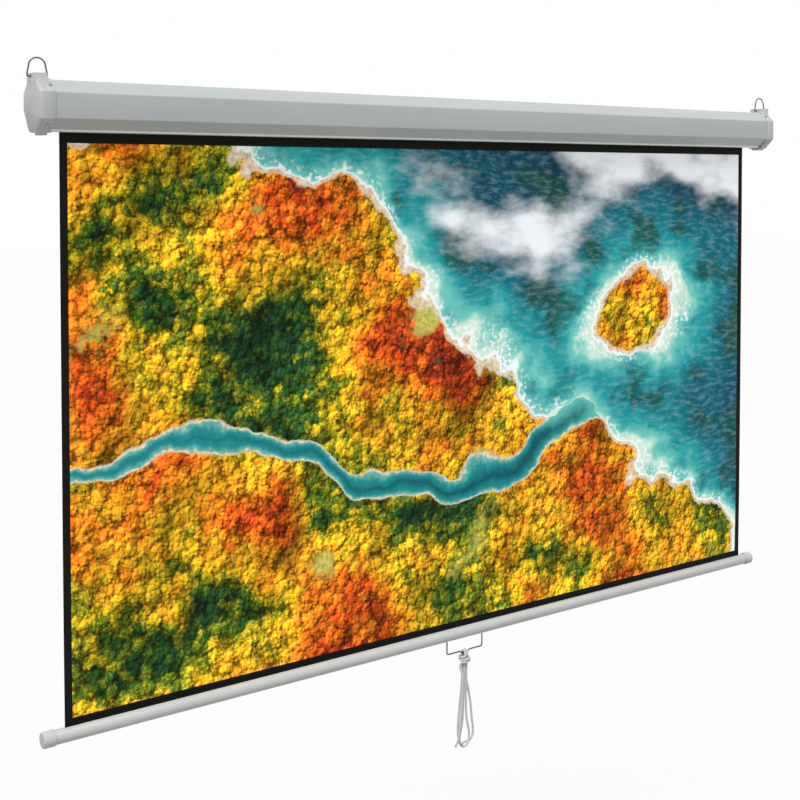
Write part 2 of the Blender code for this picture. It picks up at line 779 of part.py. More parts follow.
def make_ratchet_hub():
    """The fixed notched collar on the spear, with a boss that reaches the bracket."""
    end = PAWL_START + HUB_THICKNESS
    profile = [
        (PAWL_START, 0),
        (PAWL_START, HUB_RADIUS),
        (end, HUB_RADIUS),
        (end, HUB_BOSS_RADIUS),
        (BRACKET_FACE - FIT, HUB_BOSS_RADIUS),
        (BRACKET_FACE - FIT, 0),
    ]
    hub = mesh_object("ratchet_hub", turned(profile, 40), "zinc steel", smooth=True)
    bore = SPEAR_SIDE / 2 + FIT
    low = (PAWL_START - CUT_OVERRUN, -bore, CASE_CENTRE_Z - bore)
    high = (BRACKET_FACE + CUT_OVERRUN, bore, CASE_CENTRE_Z + bore)
    cutters = [block(low, high)]
    for turn in (-1, 1):
        edges = sorted(turn * (NOTCH_OFFSET + half) for half in (-NOTCH_WIDTH / 2, NOTCH_WIDTH / 2))
        levels = sorted(turn * level for level in (NOTCH_FLOOR, HUB_RADIUS + CUT_OVERRUN))
        low = (PAWL_START - CUT_OVERRUN, edges[0], CASE_CENTRE_Z + levels[0])
        high = (end + CUT_OVERRUN, edges[1], CASE_CENTRE_Z + levels[1])
        cutters.append(block(low, high))
    add_boolean(hub, "DIFFERENCE", cutters)


def make_spear():
    reach = SPEAR_SIDE / 2
    low = (SPEAR_START, -reach, CASE_CENTRE_Z - reach)
    high = (SPINDLE_END, reach, CASE_CENTRE_Z + reach)
    mesh_object("spear_shaft", block(low, high), "zinc steel")
    running = ROLLER_RADIUS - ROLLER_WALL - FIT
    anchor = rod(SPEAR_START, SPEAR_START + ANCHOR_LENGTH, running, 28)
    anchor_object = mesh_object("spring_anchor", anchor, "nylon", smooth=True)
    bore = reach + FIT
    low = (SPEAR_START - CUT_OVERRUN, -bore, CASE_CENTRE_Z - bore)
    high = (SPEAR_START + ANCHOR_LENGTH + CUT_OVERRUN, bore, CASE_CENTRE_Z + bore)
    add_boolean(anchor_object, "DIFFERENCE", [block(low, high)])


def make_torsion_spring():
    """The spring winds round the spear from the fixed anchor to the roller's plug."""
    start = SPEAR_START + ANCHOR_LENGTH + FIT
    end = ROLLER_END - PLUG_LENGTH - FIT
    lead = SPRING_WIRE
    steps = SPRING_CURLS * SPRING_CURL_POINTS
    points = [(start, 0.0, CASE_CENTRE_Z + SPRING_RADIUS)]
    for step in range(steps + 1):
        angle = 2 * math.pi * step / SPRING_CURL_POINTS
        x = start + lead + (end - start - 2 * lead) * step / steps
        y = SPRING_RADIUS * math.sin(angle)
        points.append((x, y, CASE_CENTRE_Z + SPRING_RADIUS * math.cos(angle)))
    points.append((end, points[-1][1], points[-1][2]))
    tube("torsion_spring", points, SPRING_WIRE / 2, "spring steel", resolution=1)
    gap = least_gap(points[1:-1], SPRING_WIRE, SPRING_CURL_POINTS - 2)
    print(f"torsion spring: least gap between curls {1000 * gap:.2f} mm")


def make_fabric():
    half = FABRIC_THICKNESS / 2
    inner = ROLLER_RADIUS + FIT + half
    steps = WRAP_TURNS * WRAP_POINTS
    spiral = []
    for step in range(steps + 1):
        share = step / steps
        angle = 2 * math.pi * WRAP_TURNS * share
        radius = FABRIC_Y + (inner - FABRIC_Y) * share + half
        spiral.append((radius * math.cos(angle), radius * math.sin(angle)))
    centre = (0.0, CASE_CENTRE_Z)
    wraps = ribbon(spiral, -FABRIC_THICKNESS, -FABRIC_EDGE, FABRIC_EDGE, centre)
    origin = (0, 0, CASE_CENTRE_Z)
    mesh_object("fabric_wraps", wraps, "screen fabric", origin, smooth=True)
    layer_gap = (FABRIC_Y - inner) / WRAP_TURNS - FABRIC_THICKNESS
    print(f"fabric wraps: least gap between layers {1000 * layer_gap:.2f} mm")
    low = (-FABRIC_EDGE, FABRIC_Y - half, BORDER_TOP + FIT)
    high = (FABRIC_EDGE, FABRIC_Y + half, CASE_CENTRE_Z - FIT)
    mesh_object("screen_fabric", block(low, high), "screen fabric")


def make_hem():
    """The lower black border, its hem round a rod inside the bottom bar."""
    half = FABRIC_THICKNESS / 2
    loop = HEM_ROD_RADIUS + FIT + half
    centre = (FABRIC_Y + loop, BAR_CENTRE_Z + HEM_ROD_Z)
    path = [(-loop - half, BORDER_TOP - centre[1])]
    steps = 20
    for step in range(steps + 1):
        angle = math.pi + HEM_SWEEP * step / steps
        path.append(((loop + half) * math.cos(angle), (loop + half) * math.sin(angle)))
    hem = ribbon(path, -FABRIC_THICKNESS, -FABRIC_EDGE, FABRIC_EDGE, centre)
    mesh_object("border_hem", hem, "black border")
    rod_end = FABRIC_EDGE - HEM_ROD_INSET
    stick = rod(-rod_end, rod_end, HEM_ROD_RADIUS, 16, centre)
    mesh_object("hem_rod", stick, "pvc rod", smooth=True)


def make_bottom_bar():
    steps = 48
    opening = math.asin(BAR_SLOT / 2 / (BAR_RADIUS - BAR_WALL))
    path = []
    for step in range(steps + 1):
        angle = math.pi / 2 - opening - (2 * math.pi - 2 * opening) * step / steps
        path.append((BAR_RADIUS * math.cos(angle), BAR_RADIUS * math.sin(angle)))
    end = BAR_CAP_END - BAR_CAP_END_WALL - FIT
    tube_wall = ribbon(path, BAR_WALL, -end, end, (FABRIC_Y, BAR_CENTRE_Z))
    bar = mesh_object("bottom_bar", tube_wall, "aluminium", smooth=True)
    slots = []
    half_width, half_depth = LEG_SLOT_WIDTH / 2, LEG_SLOT_DEPTH / 2
    bottom = BAR_CENTRE_Z - BAR_RADIUS - CUT_OVERRUN
    for side in (-1, 1):
        middle = side * HANDLE_WIDTH / 2
        low = (middle - half_width, FABRIC_Y - half_depth, bottom)
        high = (middle + half_width, FABRIC_Y + half_depth, HANDLE_PIVOT_Z)
        slots.append(block(low, high))
    add_boolean(bar, "DIFFERENCE", slots)


def make_bar_cap(side):
    bore = BAR_RADIUS + FIT
    start = BAR_CAP_END - BAR_CAP_LENGTH
    floor = BAR_CAP_END - BAR_CAP_END_WALL
    profile = [(floor, 0), (floor, bore), (start, bore), (start, BAR_CAP_RADIUS)]
    corner = (BAR_CAP_END - BAR_CAP_ROUNDING, BAR_CAP_RADIUS - BAR_CAP_ROUNDING)
    profile += arc(corner, BAR_CAP_ROUNDING, 90, 0, 4)
    profile.append((BAR_CAP_END, 0))
    bm = turned(profile, 32, (FABRIC_Y, BAR_CENTRE_Z))
    mesh_object(f"bar_cap_{side_name(side)}", mirror_x(bm, side), "cap plastic", smooth=True)


def make_handle_keeper():
    """A bent strip inside the bar, with two ears that hold the handle's ends."""
    top = BAR_CENTRE_Z - KEEPER_TOP_DROP
    low = BAR_CENTRE_Z - BAR_RADIUS + BAR_WALL + FIT
    ear, front = KEEPER_EAR_X, FABRIC_Y - BAR_RADIUS
    path = [(-ear, low), (-ear, top), (ear, top), (ear, low)]
    bm = bmesh.new()
    outer = [bm.verts.new((x, front, z)) for x, z in path]
    inner = [bm.verts.new((x, front, z)) for x, z in offset_path(path, KEEPER_SHEET)]
    faces = []
    for index in range(len(path) - 1):
        corners = (outer[index], outer[index + 1], inner[index + 1], inner[index])
        faces.append(bm.faces.new(corners))
    drawn = bmesh.ops.extrude_face_region(bm, geom=faces)["geom"]
    moved = [item for item in drawn if isinstance(item, bmesh.types.BMVert)]
    bmesh.ops.translate(bm, verts=moved, vec=(0, 2 * BAR_RADIUS, 0))
    keeper = mesh_object("handle_keeper", bm, "zinc steel")
    room = BAR_RADIUS - BAR_WALL - FIT
    centre = (FABRIC_Y, BAR_CENTRE_Z)
    reach = ear + CUT_OVERRUN
    add_boolean(keeper, "INTERSECT", [rod(-reach, reach, room, 48, centre)])
    pivot = (FABRIC_Y, HANDLE_PIVOT_Z)
    add_boolean(keeper, "DIFFERENCE", [rod(-reach, reach, HANDLE_WIRE / 2 + FIT, 16, pivot)])


def make_pull_handle():
    """A wire bail: turned-in ends, two legs and a lower rail with a dip for the cord."""
    half, bend, top_bend = HANDLE_WIDTH / 2, HANDLE_BEND, HANDLE_TOP_BEND
    pivot_z, rail_z = HANDLE_PIVOT_Z, HANDLE_PIVOT_Z - HANDLE_DROP
    path = [(-half + HANDLE_TURN_IN, pivot_z)]
    path += arc((-half + top_bend, pivot_z - top_bend), top_bend, 90, 180, 3)
    path += arc((-half + bend, rail_z + bend), bend, 180, 270, 5)
    for share in np.linspace(0, 1, 7):
        x = -DIP_WIDTH / 2 + (DIP_WIDTH - DIP_FLAT) / 2 * share
        path.append((x, rail_z - DIP_DEPTH * (1 - math.cos(math.pi * share)) / 2))
    path += [(-x, z) for x, z in reversed(path)]
    points = [(x, FABRIC_Y, z) for x, z in path]
    tube("pull_handle", points, HANDLE_WIRE / 2, "nickel wire", (0, FABRIC_Y, HANDLE_PIVOT_Z))


def strand(layer, stations):
    """A hanging stretch of cord through (x, z) stations in millimetres.

    The front strands hang in layer -1 and the rear ones in layer 1.
    """
    return [(x / 1000, layer * CORD_SPACING / 2, z / 1000) for x, z in stations]


def over_rail(x):
    """The cord's way over the rail and down into the knot behind it."""
    reach = HANDLE_WIRE / 2 + CORD_RAIL_GAP + CORD_DIAMETER / 2
    layer = CORD_SPACING / 2
    path = [(x, reach * math.cos(angle), reach * math.sin(angle)) for angle in CORD_OVER_RAIL]
    path += [(x, layer + 0.0012, -0.0045), (x, layer + 0.0003, -0.0085), (x, layer, -0.0140)]
    return path


def cord_route():
    """The cord's points from the middle of the handle's dip, as (x, y, z).

    It starts at the loose tail, climbs to the knot, wraps round the strands, goes over the
    rail, hangs as one long loop, goes over the rail again, hangs as a second loop and ends
    inside the knot.
    """
    s = CORD_SPACING / 2
    route = [
        (-0.0252, -0.0040, -0.1770),
        (-0.0230, -0.0055, -0.1715),
        (-0.0200, -0.0068, -0.1610),
        (-0.0175, -0.0073, -0.1460),
        (-0.0152, -0.0073, -0.1250),
        (-0.0128, -0.0073, -0.1000),
        (-0.0106, -0.0070, -0.0750),
        (-0.0097, -0.0060, -0.0540),
        (-0.0098, -0.0045, -0.0410),
        (-0.0100, -0.0006, -0.0320),
        (-0.0101, 0.0006, -0.0260),
        (-0.0096, -0.0012, -0.0202),
    ]
    steps = CORD_WRAP_TURNS * CORD_WRAP_POINTS
    for step in range(steps + 1):
        left = (steps - step) / CORD_WRAP_POINTS
        angle = CORD_WRAP_END - 2 * math.pi * left
        radius = CORD_WRAP_RADIUS - CORD_WRAP_TAPER * left
        z = -CORD_WRAP_TOP - CORD_WRAP_PITCH * left
        route.append((radius * math.cos(angle), radius * math.sin(angle), z))
    route += [
        (-0.0068, -0.0071, -0.0066),
        (-0.0047, -0.0076, -0.0047),
        (-0.0031, -0.0064, -0.0022),
    ]
    route += over_rail(-s)
    route += strand(1, [(-2.45, -22), (-3.0, -32), (-4.4, -54), (-6.8, -77), (-10.0, -100)])
    route += strand(1, [(-13.0, -125), (-14.3, -145), (-13.8, -161), (-11.4, -172), (-8.0, -179.7)])
    route.append((-0.0030, 0.0, -0.1845))
    route += strand(-1, [(4.0, -181.2), (7.8, -174.5), (9.4, -165), (8.6, -152), (4.5, -136)])
    route += strand(-1, [(2.0, -117), (1.4, -87), (2.0, -54), (2.45, -32), (2.45, -22), (2.45, -14)])
    route += [(s, -s - 0.0003, -0.0085), (s, -s - 0.0012, -0.0045), (s, -s - 0.0016, -0.0006)]
    route += over_rail(s)
    route += strand(1, [(2.45, -22), (3.2, -34), (6.0, -52), (9.8, -69), (13.6, -86), (16.3, -100)])
    route += strand(1, [(18.6, -118), (20.3, -134), (22.6, -149), (23.3, -160), (21.8, -169)])
    route += strand(1, [(17.0, -175.4), (10.5, -177.3)])
    route += [(0.0045, s - 0.0003, -0.1772), (-0.0010, 0.0004, -0.1765)]
    route += strand(-1, [(-7.0, -176.5), (-12.5, -173.5), (-14.5, -167.5), (-13.2, -158)])
    route += strand(-1, [(-9.8, -146), (-7.0, -130), (-5.5, -102), (-4.0, -72), (-3.0, -44)])
    route += strand(-1, [(-2.45, -32), (-2.45, -22), (-2.45, -14), (-2.45, -11.5)])
    return [Vector(point) for point in route]


def smooth_line(points, steps):
    """A Catmull-Rom curve through the points, with some steps between each pair."""
    line = []
    for index in range(len(points) - 1):
        before = points[max(index - 1, 0)]
        start, end = points[index], points[index + 1]
        after = points[min(index + 2, len(points) - 1)]
        for step in range(steps):
            t = step / steps
            line.append(
                0.5
                * (
                    2 * start
                    + (end - before) * t
                    + (2 * before - 5 * start + 4 * end - after) * t**2
                    + (3 * start - before - 3 * end + after) * t**3
                )
            )
    line.append(points[-1])
    return line


def make_pull_cord():
    middle = Vector((0, FABRIC_Y, CORD_PIVOT_Z))
    route = [middle + point for point in cord_route()]
    fine = smooth_line(route, 12)
    length = sum((b - a).length for a, b in zip(fine, fine[1:]))
    gap = least_gap(fine, CORD_DIAMETER, 60)
    print(f"pull cord: {1000 * length:.0f} mm long, least gap to itself {1000 * gap:.2f} mm")
    line = smooth_line(route, CORD_STEPS)
    tube("pull_cord", line, CORD_DIAMETER / 2, "cord", tuple(middle))


def main():
    clear_scene()
    make_case()
    for side in (-1, 1):
        make_end_cap(side)
        make_hanging_ring(side)
        make_bracket(side)
        make_bar_cap(side)
        for face, where in ((-1, "front"), (1, "rear")):
            name = f"cap_screw_{side_name(side)}_{where}"
            make_screw(name, cap_screw_place(side, face), CAP_SCREW_LENGTH)
    make_roller()
    make_idle_end()
    make_spring_end()
    make_pawls()
    make_ratchet_hub()
    make_spear()
    make_torsion_spring()
    make_fabric()
    make_hem()
    make_bottom_bar()
    make_handle_keeper()
    make_pull_handle()
    make_pull_cord()


main()
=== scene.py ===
"""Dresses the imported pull-down projection screen and sets it in a plain studio.

Metres, +Z up, +X along the case, +Y towards the wall, as the frame has them.
"""

import logging
import math
from dataclasses import dataclass
from enum import Enum
from functools import lru_cache
from typing import Callable, Sequence, Union

import bmesh
import bpy
from mathutils import Matrix, Vector
from mathutils.bvhtree import BVHTree


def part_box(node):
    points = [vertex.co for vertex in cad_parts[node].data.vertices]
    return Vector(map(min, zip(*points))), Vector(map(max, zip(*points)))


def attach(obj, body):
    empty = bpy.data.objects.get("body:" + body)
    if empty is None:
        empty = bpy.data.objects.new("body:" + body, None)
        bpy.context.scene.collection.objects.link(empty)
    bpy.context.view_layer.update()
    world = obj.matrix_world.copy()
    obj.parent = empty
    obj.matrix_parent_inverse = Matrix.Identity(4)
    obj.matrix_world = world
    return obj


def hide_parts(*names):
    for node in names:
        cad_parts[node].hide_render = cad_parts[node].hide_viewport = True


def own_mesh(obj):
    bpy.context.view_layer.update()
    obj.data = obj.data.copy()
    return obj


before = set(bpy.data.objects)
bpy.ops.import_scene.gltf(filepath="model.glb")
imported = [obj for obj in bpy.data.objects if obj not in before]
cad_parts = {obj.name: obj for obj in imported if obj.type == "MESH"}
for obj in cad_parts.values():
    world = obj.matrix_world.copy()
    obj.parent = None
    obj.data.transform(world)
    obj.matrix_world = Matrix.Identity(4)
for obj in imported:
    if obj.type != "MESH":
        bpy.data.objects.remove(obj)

LOG = logging.getLogger("projection screen")
WIRE_SIDES = 20
WELD = 1e-6
SEAM_SHARE = 1e-3
BACKDROP = 1.0
RAYS = ("Camera", "Glossy", "Transmission")
LEAST_SIDE = 0.1
TIP_SHRINK = 0.75
Term = Union["Value", float]
Colour = tuple[float, float, float]
Stops = Sequence[tuple[float, Colour]]
Point = tuple[float, float]
Spot = tuple[float, float, float]
Socket = bpy.types.NodeSocket
Piece = bpy.types.Object
Mesh = bmesh.types.BMesh
Edge = bmesh.types.BMEdge
Vert = bmesh.types.BMVert

AUTUMN: Stops = [
    (0.00, (0.008, 0.045, 0.020)),
    (0.15, (0.030, 0.110, 0.020)),
    (0.26, (0.240, 0.270, 0.015)),
    (0.36, (0.920, 0.580, 0.020)),
    (0.50, (1.000, 0.440, 0.020)),
    (0.64, (0.950, 0.240, 0.015)),
    (0.80, (0.680, 0.075, 0.012)),
    (0.93, (0.260, 0.030, 0.015)),
    (1.00, (0.060, 0.080, 0.015)),
]
RIVER_DEPTHS: Stops = [(0.0, (0.20, 0.50, 0.42)), (0.22, (0.02, 0.26, 0.27)), (0.7, (0.006, 0.10, 0.12))]
SEA_DEPTHS: Stops = [
    (0.00, (0.620, 0.800, 0.660)),
    (0.06, (0.160, 0.560, 0.500)),
    (0.16, (0.015, 0.320, 0.340)),
    (0.32, (0.006, 0.150, 0.200)),
    (0.60, (0.004, 0.065, 0.110)),
    (1.00, (0.003, 0.030, 0.060)),
]


class Body(Enum):
    """The moving bodies of the screen that the pieces ride on."""

    CASE = "case"
    ROLLER = "roller"
    BAR = "lower_bar"
    HANDLE = "handle"
    CORD = "cord"
    RING_LEFT = "ring_left"
    RING_RIGHT = "ring_right"


class Side(Enum):
    """The two ends of the screen, as the viewer sees them."""

    LEFT = -1
    RIGHT = 1

    @property
    def word(self) -> str:
        """The side's name as the nodes have it."""
        return self.name.lower()


def operator(operation: str, turned: bool = False) -> Callable[["Value", Term], "Value"]:
    """Makes one of Python's operators add a Math node.

    Args:
        operation: The node's operation.
        turned: Whether the other term comes first, as in 1 - mask.

    Returns:
        The operator's method.
    """

    def apply(value: "Value", other: Term) -> "Value":
        """Adds the node."""
        return value.math(operation, *((other, value) if turned else (value, other)))

    return apply


class Value:
    """A number that varies over a surface; Python's operators on it add Math nodes."""

    __add__, __radd__ = operator("ADD"), operator("ADD", True)
    __sub__, __rsub__ = operator("SUBTRACT"), operator("SUBTRACT", True)
    __mul__, __rmul__ = operator("MULTIPLY"), operator("MULTIPLY", True)
    __gt__ = operator("GREATER_THAN")
    least, most = operator("MINIMUM"), operator("MAXIMUM")

    def __init__(self, graph: "Graph", socket: Socket) -> None:
        """Wraps an output socket of a graph."""
        self.graph = graph
        self.socket = socket

    def math(self, operation: str, *terms: Term) -> "Value":
        """Adds one Math node, with its terms in order."""
        return self.graph.value("ShaderNodeMath", {"operation": operation}, dict(enumerate(terms)))

    def __abs__(self) -> "Value":
        """Drops the sign."""
        return self.math("ABSOLUTE", self)

    def sine(self) -> "Value":
        """The sine of the number in radians."""
        return self.math("SINE", self)

    def ramp(self, low: float, high: float) -> "Value":
        """Rises smoothly from 0 at low to 1 at high, or falls if high is the smaller.

        Args:
            low: Where the result is 0.
            high: Where the result is 1.

        Returns:
            A number from 0 to 1.
        """
        settings = {"interpolation_type": "SMOOTHSTEP"}
        ends = {1: min(low, high), 2: max(low, high), 3: float(high < low), 4: float(high >= low)}
        return self.graph.value("ShaderNodeMapRange", settings, {0: self, **ends})


class Graph:
    """The node tree of one material or of the world."""

    def __init__(self, tree: bpy.types.NodeTree) -> None:
        """Starts from a tree, which is emptied."""
        self.tree = tree
        tree.nodes.clear()

    def add(self, kind: str, settings: dict | None = None, sockets: dict | None = None) -> bpy.types.Node:
        """Adds a node.

        Args:
            kind: Blender's name for the node's type.
            settings: What is set on the node itself; "stops" fills a colour ramp.
            sockets: What feeds each input, by name or number: a Value, an output or a constant.

        Returns:
            The new node.
        """
        node = self.tree.nodes.new(kind)
        for key, value in (settings or {}).items():
            if key == "stops":
                self.fill_ramp(node.color_ramp, value)
            else:
                setattr(node, key, value)
        for key, value in (sockets or {}).items():
            self.feed(node.inputs[key], value)
        return node

    def value(
        self, kind: str, settings: dict | None = None, sockets: dict | None = None, output: int | str = 0
    ) -> Value:
        """Adds a node as add does, and gives the output of that number or name."""
        return Value(self, self.add(kind, settings, sockets).outputs[output])

    def fill_ramp(self, ramp: bpy.types.ColorRamp, stops: Stops) -> None:
        """Gives a new colour ramp its stops.

        Args:
            ramp: The ramp.
            stops: Its places and colours, in rising order.
        """
        while len(ramp.elements) < len(stops):
            ramp.elements.new(1.0)
        for element, (place, colour) in zip(ramp.elements, stops):
            element.position = place
            element.color = (*colour, 1.0)

    def feed(self, target: Socket, value: object) -> None:
        """Links or sets an input.

        Args:
            target: The input.
            value: A Value or an output to link, or a number, vector or colour to set.
        """
        if isinstance(value, Value):
            value = value.socket
        if isinstance(value, Socket):
            self.tree.links.new(value, target)
        elif target.type == "RGBA" and len(value) == 3:
            target.default_value = (*value, 1.0)
        else:
            target.default_value = value

    def place(self) -> Socket:
        """The point of the surface, in metres."""
        return self.add("ShaderNodeTexCoord").outputs["Object"]

    def along(self, name: str) -> Socket:
        """The piece's own UV map of that name."""
        return self.add("ShaderNodeUVMap", {"uv_map": name}).outputs["UV"]

    def scaled(self, vector: Socket, scale: Sequence[float]) -> Socket:
        """Stretches a pattern's coordinates by a factor along each axis."""
        return self.add("ShaderNodeMapping", None, {"Vector": vector, "Scale": scale}).outputs[0]

    def moved(self, vector: Socket, by: object) -> Socket:
        """Adds an offset or a warp to coordinates."""
        return self.add("ShaderNodeVectorMath", {"operation": "ADD"}, {0: vector, 1: by}).outputs[0]

    def axes(self, vector: Socket) -> tuple[Value, Value, Value]:
        """Splits coordinates into their three numbers."""
        node = self.add("ShaderNodeSeparateXYZ", None, {0: vector})
        return tuple(Value(self, output) for output in node.outputs)

    def noise(self, vector: Socket, scale: float, detail: float = 3.0) -> Value:
        """Cloudy noise, mostly from 0.2 to 0.8, with scale clouds to a metre."""
        return self.value("ShaderNodeTexNoise", None, {"Vector": vector, "Scale": scale, "Detail": detail})

    def mix(self, factor: Term, first: object, second: object, blend: str = "MIX") -> Socket:
        """Mixes factor of the second colour into the first."""
        settings = {"data_type": "RGBA", "blend_type": blend}
        return self.add("ShaderNodeMix", settings, {0: factor, 6: first, 7: second}).outputs[2]

    def ramp(self, factor: Value, stops: Stops) -> Socket:
        """Turns a number into a colour through a ramp's stops."""
        return self.add("ShaderNodeValToRGB", {"stops": stops}, {0: factor}).outputs[0]

    def bump(self, height: Value, distance: float, under: object = None) -> Socket:
        """Turns a height into a surface direction.

        Args:
            height: The relief, where 1 is one distance high.
            distance: The relief's depth in metres.
            under: A coarser relief that this one lies on.

        Returns:
            The direction for the shader's Normal.
        """
        sockets = {"Height": height, "Distance": distance, "Strength": 1.0}
        if under is not None:
            sockets["Normal"] = under
        return self.add("ShaderNodeBump", None, sockets).outputs[0]

    def seen(self) -> Value:
        """Tells the rays that show the backdrop itself or its reflection.

        Returns:
            1 for those rays and 0 for others.
        """
        kinds = self.add("ShaderNodeLightPath").outputs
        camera, glossy, through = (Value(self, kinds[f"Is {kind} Ray"]) for kind in RAYS)
        return camera.most(glossy).most(through)

    def surface(self, **sockets: object) -> None:
        """Ends the tree in one Principled shader.

        Args:
            sockets: What feeds its inputs, with _ for the blanks in their names.
        """
        named = {name.replace("_", " "): value for name, value in sockets.items()}
        shader = self.add("ShaderNodeBsdfPrincipled", None, named)
        self.add("ShaderNodeOutputMaterial", None, {"Surface": shader.outputs[0]})


@dataclass(frozen=True)
class Finish:
    """A surface finish: what it is called and how it is painted."""

    name: str

    def paint(self, graph: Graph) -> None:
        """Fills the material's tree; each kind of finish has its own way."""
        raise NotImplementedError


@lru_cache(maxsize=None)
def material_of(finish: Finish) -> bpy.types.Material:
    """Makes a finish's material once, for all its pieces.

    Args:
        finish: The finish.

    Returns:
        The material.
    """
    material = bpy.data.materials.new(finish.name)
    material.use_nodes = True
    finish.paint(Graph(material.node_tree))
    return material


@dataclass(frozen=True)
class PowderCoat(Finish):
    """Baked white paint on folded steel, with orange peel and faint waves, and a painted highlight of glossy
    bare metal along the front lip.
    """

    colour: Colour = (0.645, 0.690, 0.670)
    shade: Colour = (0.605, 0.645, 0.640)
    lip_highlight_metal: Colour = (0.47, 0.47, 0.455)
    lip_top: float = -0.1064
    lip_back: float = -0.0115
    lip_fade: float = 0.0005
    cloud_stretch: Spot = (2.0, 9.0, 9.0)
    wave_stretch: Spot = (3.0, 16.0, 16.0)
    wave_depth: float = 0.00012
    peel: float = 650.0
    peel_depth: float = 0.00003
    rough: float = 0.34
    uneven: float = 0.16

    def paint(self, graph: Graph) -> None:
        """Paints the coat.

        Args:
            graph: The material's tree.
        """
        place = graph.place()
        cloud = graph.noise(graph.scaled(place, self.cloud_stretch), 2.0, 4.0)
        colour = graph.mix(cloud.ramp(0.35, 0.75), self.colour, self.shade)
        waves = graph.bump(graph.noise(graph.scaled(place, self.wave_stretch), 1.0, 1.0), self.wave_depth)
        peel = graph.bump(graph.noise(place, self.peel, 2.0), self.peel_depth, waves)
        _, depth, height = graph.axes(place)
        # Along the front lip the paint gives way to glossy bare metal: a painted highlight that mirrors the
        # white backdrop as a light line.
        below, behind = self.lip_top - height, self.lip_back - depth
        lip = below.ramp(0.0, self.lip_fade) * behind.ramp(0.0, self.lip_fade)
        roughness = graph.noise(place, 40.0, 4.0) * self.uneven + self.rough - lip * self.uneven
        colour = graph.mix(lip, colour, self.lip_highlight_metal)
        graph.surface(Base_Color=colour, Metallic=lip, Roughness=roughness, Normal=peel, IOR=1.5)


@dataclass(frozen=True)
class Moulding(Finish):
    """Injection-moulded plastic with a spark-eroded skin and faint flow and sink marks."""

    colour: Colour = (0.690, 0.710, 0.700)
    shade: Colour = (0.640, 0.660, 0.655)
    grain: float = 1400.0
    grain_depth: float = 0.00002
    rough: float = 0.40
    uneven: float = 0.14
    sink: float = 55.0
    sink_share: float = 5.0
    flow_stretch: Spot = (30.0, 12.0, 12.0)

    def paint(self, graph: Graph) -> None:
        """Paints the plastic.

        Args:
            graph: The material's tree.
        """
        place = graph.place()
        flow = graph.noise(graph.scaled(place, self.flow_stretch), 1.0, 3.0)
        colour = graph.mix(flow.ramp(0.3, 0.7), self.colour, self.shade)
        sink = graph.bump(graph.noise(place, self.sink, 1.0), self.sink_share * self.grain_depth)
        grain = graph.bump(graph.noise(place, self.grain, 2.0), self.grain_depth, sink)
        roughness = graph.noise(place, 90.0, 3.0) * self.uneven + self.rough
        graph.surface(Base_Color=colour, Roughness=roughness, Normal=grain, IOR=1.46)


@dataclass(frozen=True)
class PlatedWire(Finish):
    """Drawn wire with a dark nickel plate: fine lines along it and dull patches."""

    colour: Colour = (0.16, 0.155, 0.148)
    dull: Colour = (0.07, 0.067, 0.062)
    line_stretch: Spot = (60.0, 40.0, 1.0)
    line_depth: float = 0.00001
    patch: float = 240.0
    rough: float = 0.14

    def paint(self, graph: Graph) -> None:
        """Paints the plate.

        Args:
            graph: The material's tree.
        """
        lines = graph.noise(graph.scaled(graph.along("Along"), self.line_stretch), 1.0, 2.0)
        patches = graph.noise(graph.place(), self.patch, 4.0)
        colour = graph.mix(patches.ramp(0.4, 0.7), self.colour, self.dull)
        roughness = patches * 0.2 + lines * 0.08 + self.rough
        normal = graph.bump(lines, self.line_depth)
        graph.surface(Base_Color=colour, Metallic=1.0, Roughness=roughness, Normal=normal)


@dataclass(frozen=True)
class Plate(Finish):
    """Zinc plate or plain bright metal with a blotched passive film and rub marks."""

    colour: Colour = (0.56, 0.57, 0.58)
    film: Colour = (0.50, 0.49, 0.44)
    rough: float = 0.20
    blotch: float = 130.0
    scratch_stretch: Spot = (90.0, 1500.0, 1500.0)
    scratch_depth: float = 0.000008

    def paint(self, graph: Graph) -> None:
        """Paints the plate.

        Args:
            graph: The material's tree.
        """
        place = graph.place()
        blotch = graph.noise(place, self.blotch, 5.0)
        scratch = graph.noise(graph.scaled(place, self.scratch_stretch), 1.0, 2.0)
        colour = graph.mix(blotch.ramp(0.4, 0.65), self.colour, self.film)
        roughness = blotch * 0.2 + scratch * 0.1 + self.rough
        normal = graph.bump(scratch, self.scratch_depth)
        graph.surface(Base_Color=colour, Metallic=1.0, Roughness=roughness, Normal=normal)


@dataclass(frozen=True)
class BarCoat(Finish):
    """White lacquer on a drawn tube, with the die's fine lines along it."""

    colour: Colour = (0.71, 0.71, 0.70)
    shade: Colour = (0.66, 0.665, 0.66)
    line_stretch: Spot = (2.5, 700.0, 700.0)
    line_depth: float = 0.00002
    handled_stretch: Spot = (9.0, 40.0, 40.0)
    rough: float = 0.30
    uneven: float = 0.15

    def paint(self, graph: Graph) -> None:
        """Paints the lacquer.

        Args:
            graph: The material's tree.
        """
        place = graph.place()
        lines = graph.noise(graph.scaled(place, self.line_stretch), 1.0, 2.0)
        handled = graph.noise(graph.scaled(place, self.handled_stretch), 1.0, 4.0)
        colour = graph.mix(handled.ramp(0.35, 0.8), self.colour, self.shade)
        roughness = handled * self.uneven + self.rough
        normal = graph.bump(lines, self.line_depth)
        graph.surface(Base_Color=colour, Roughness=roughness, Normal=normal, IOR=1.5)


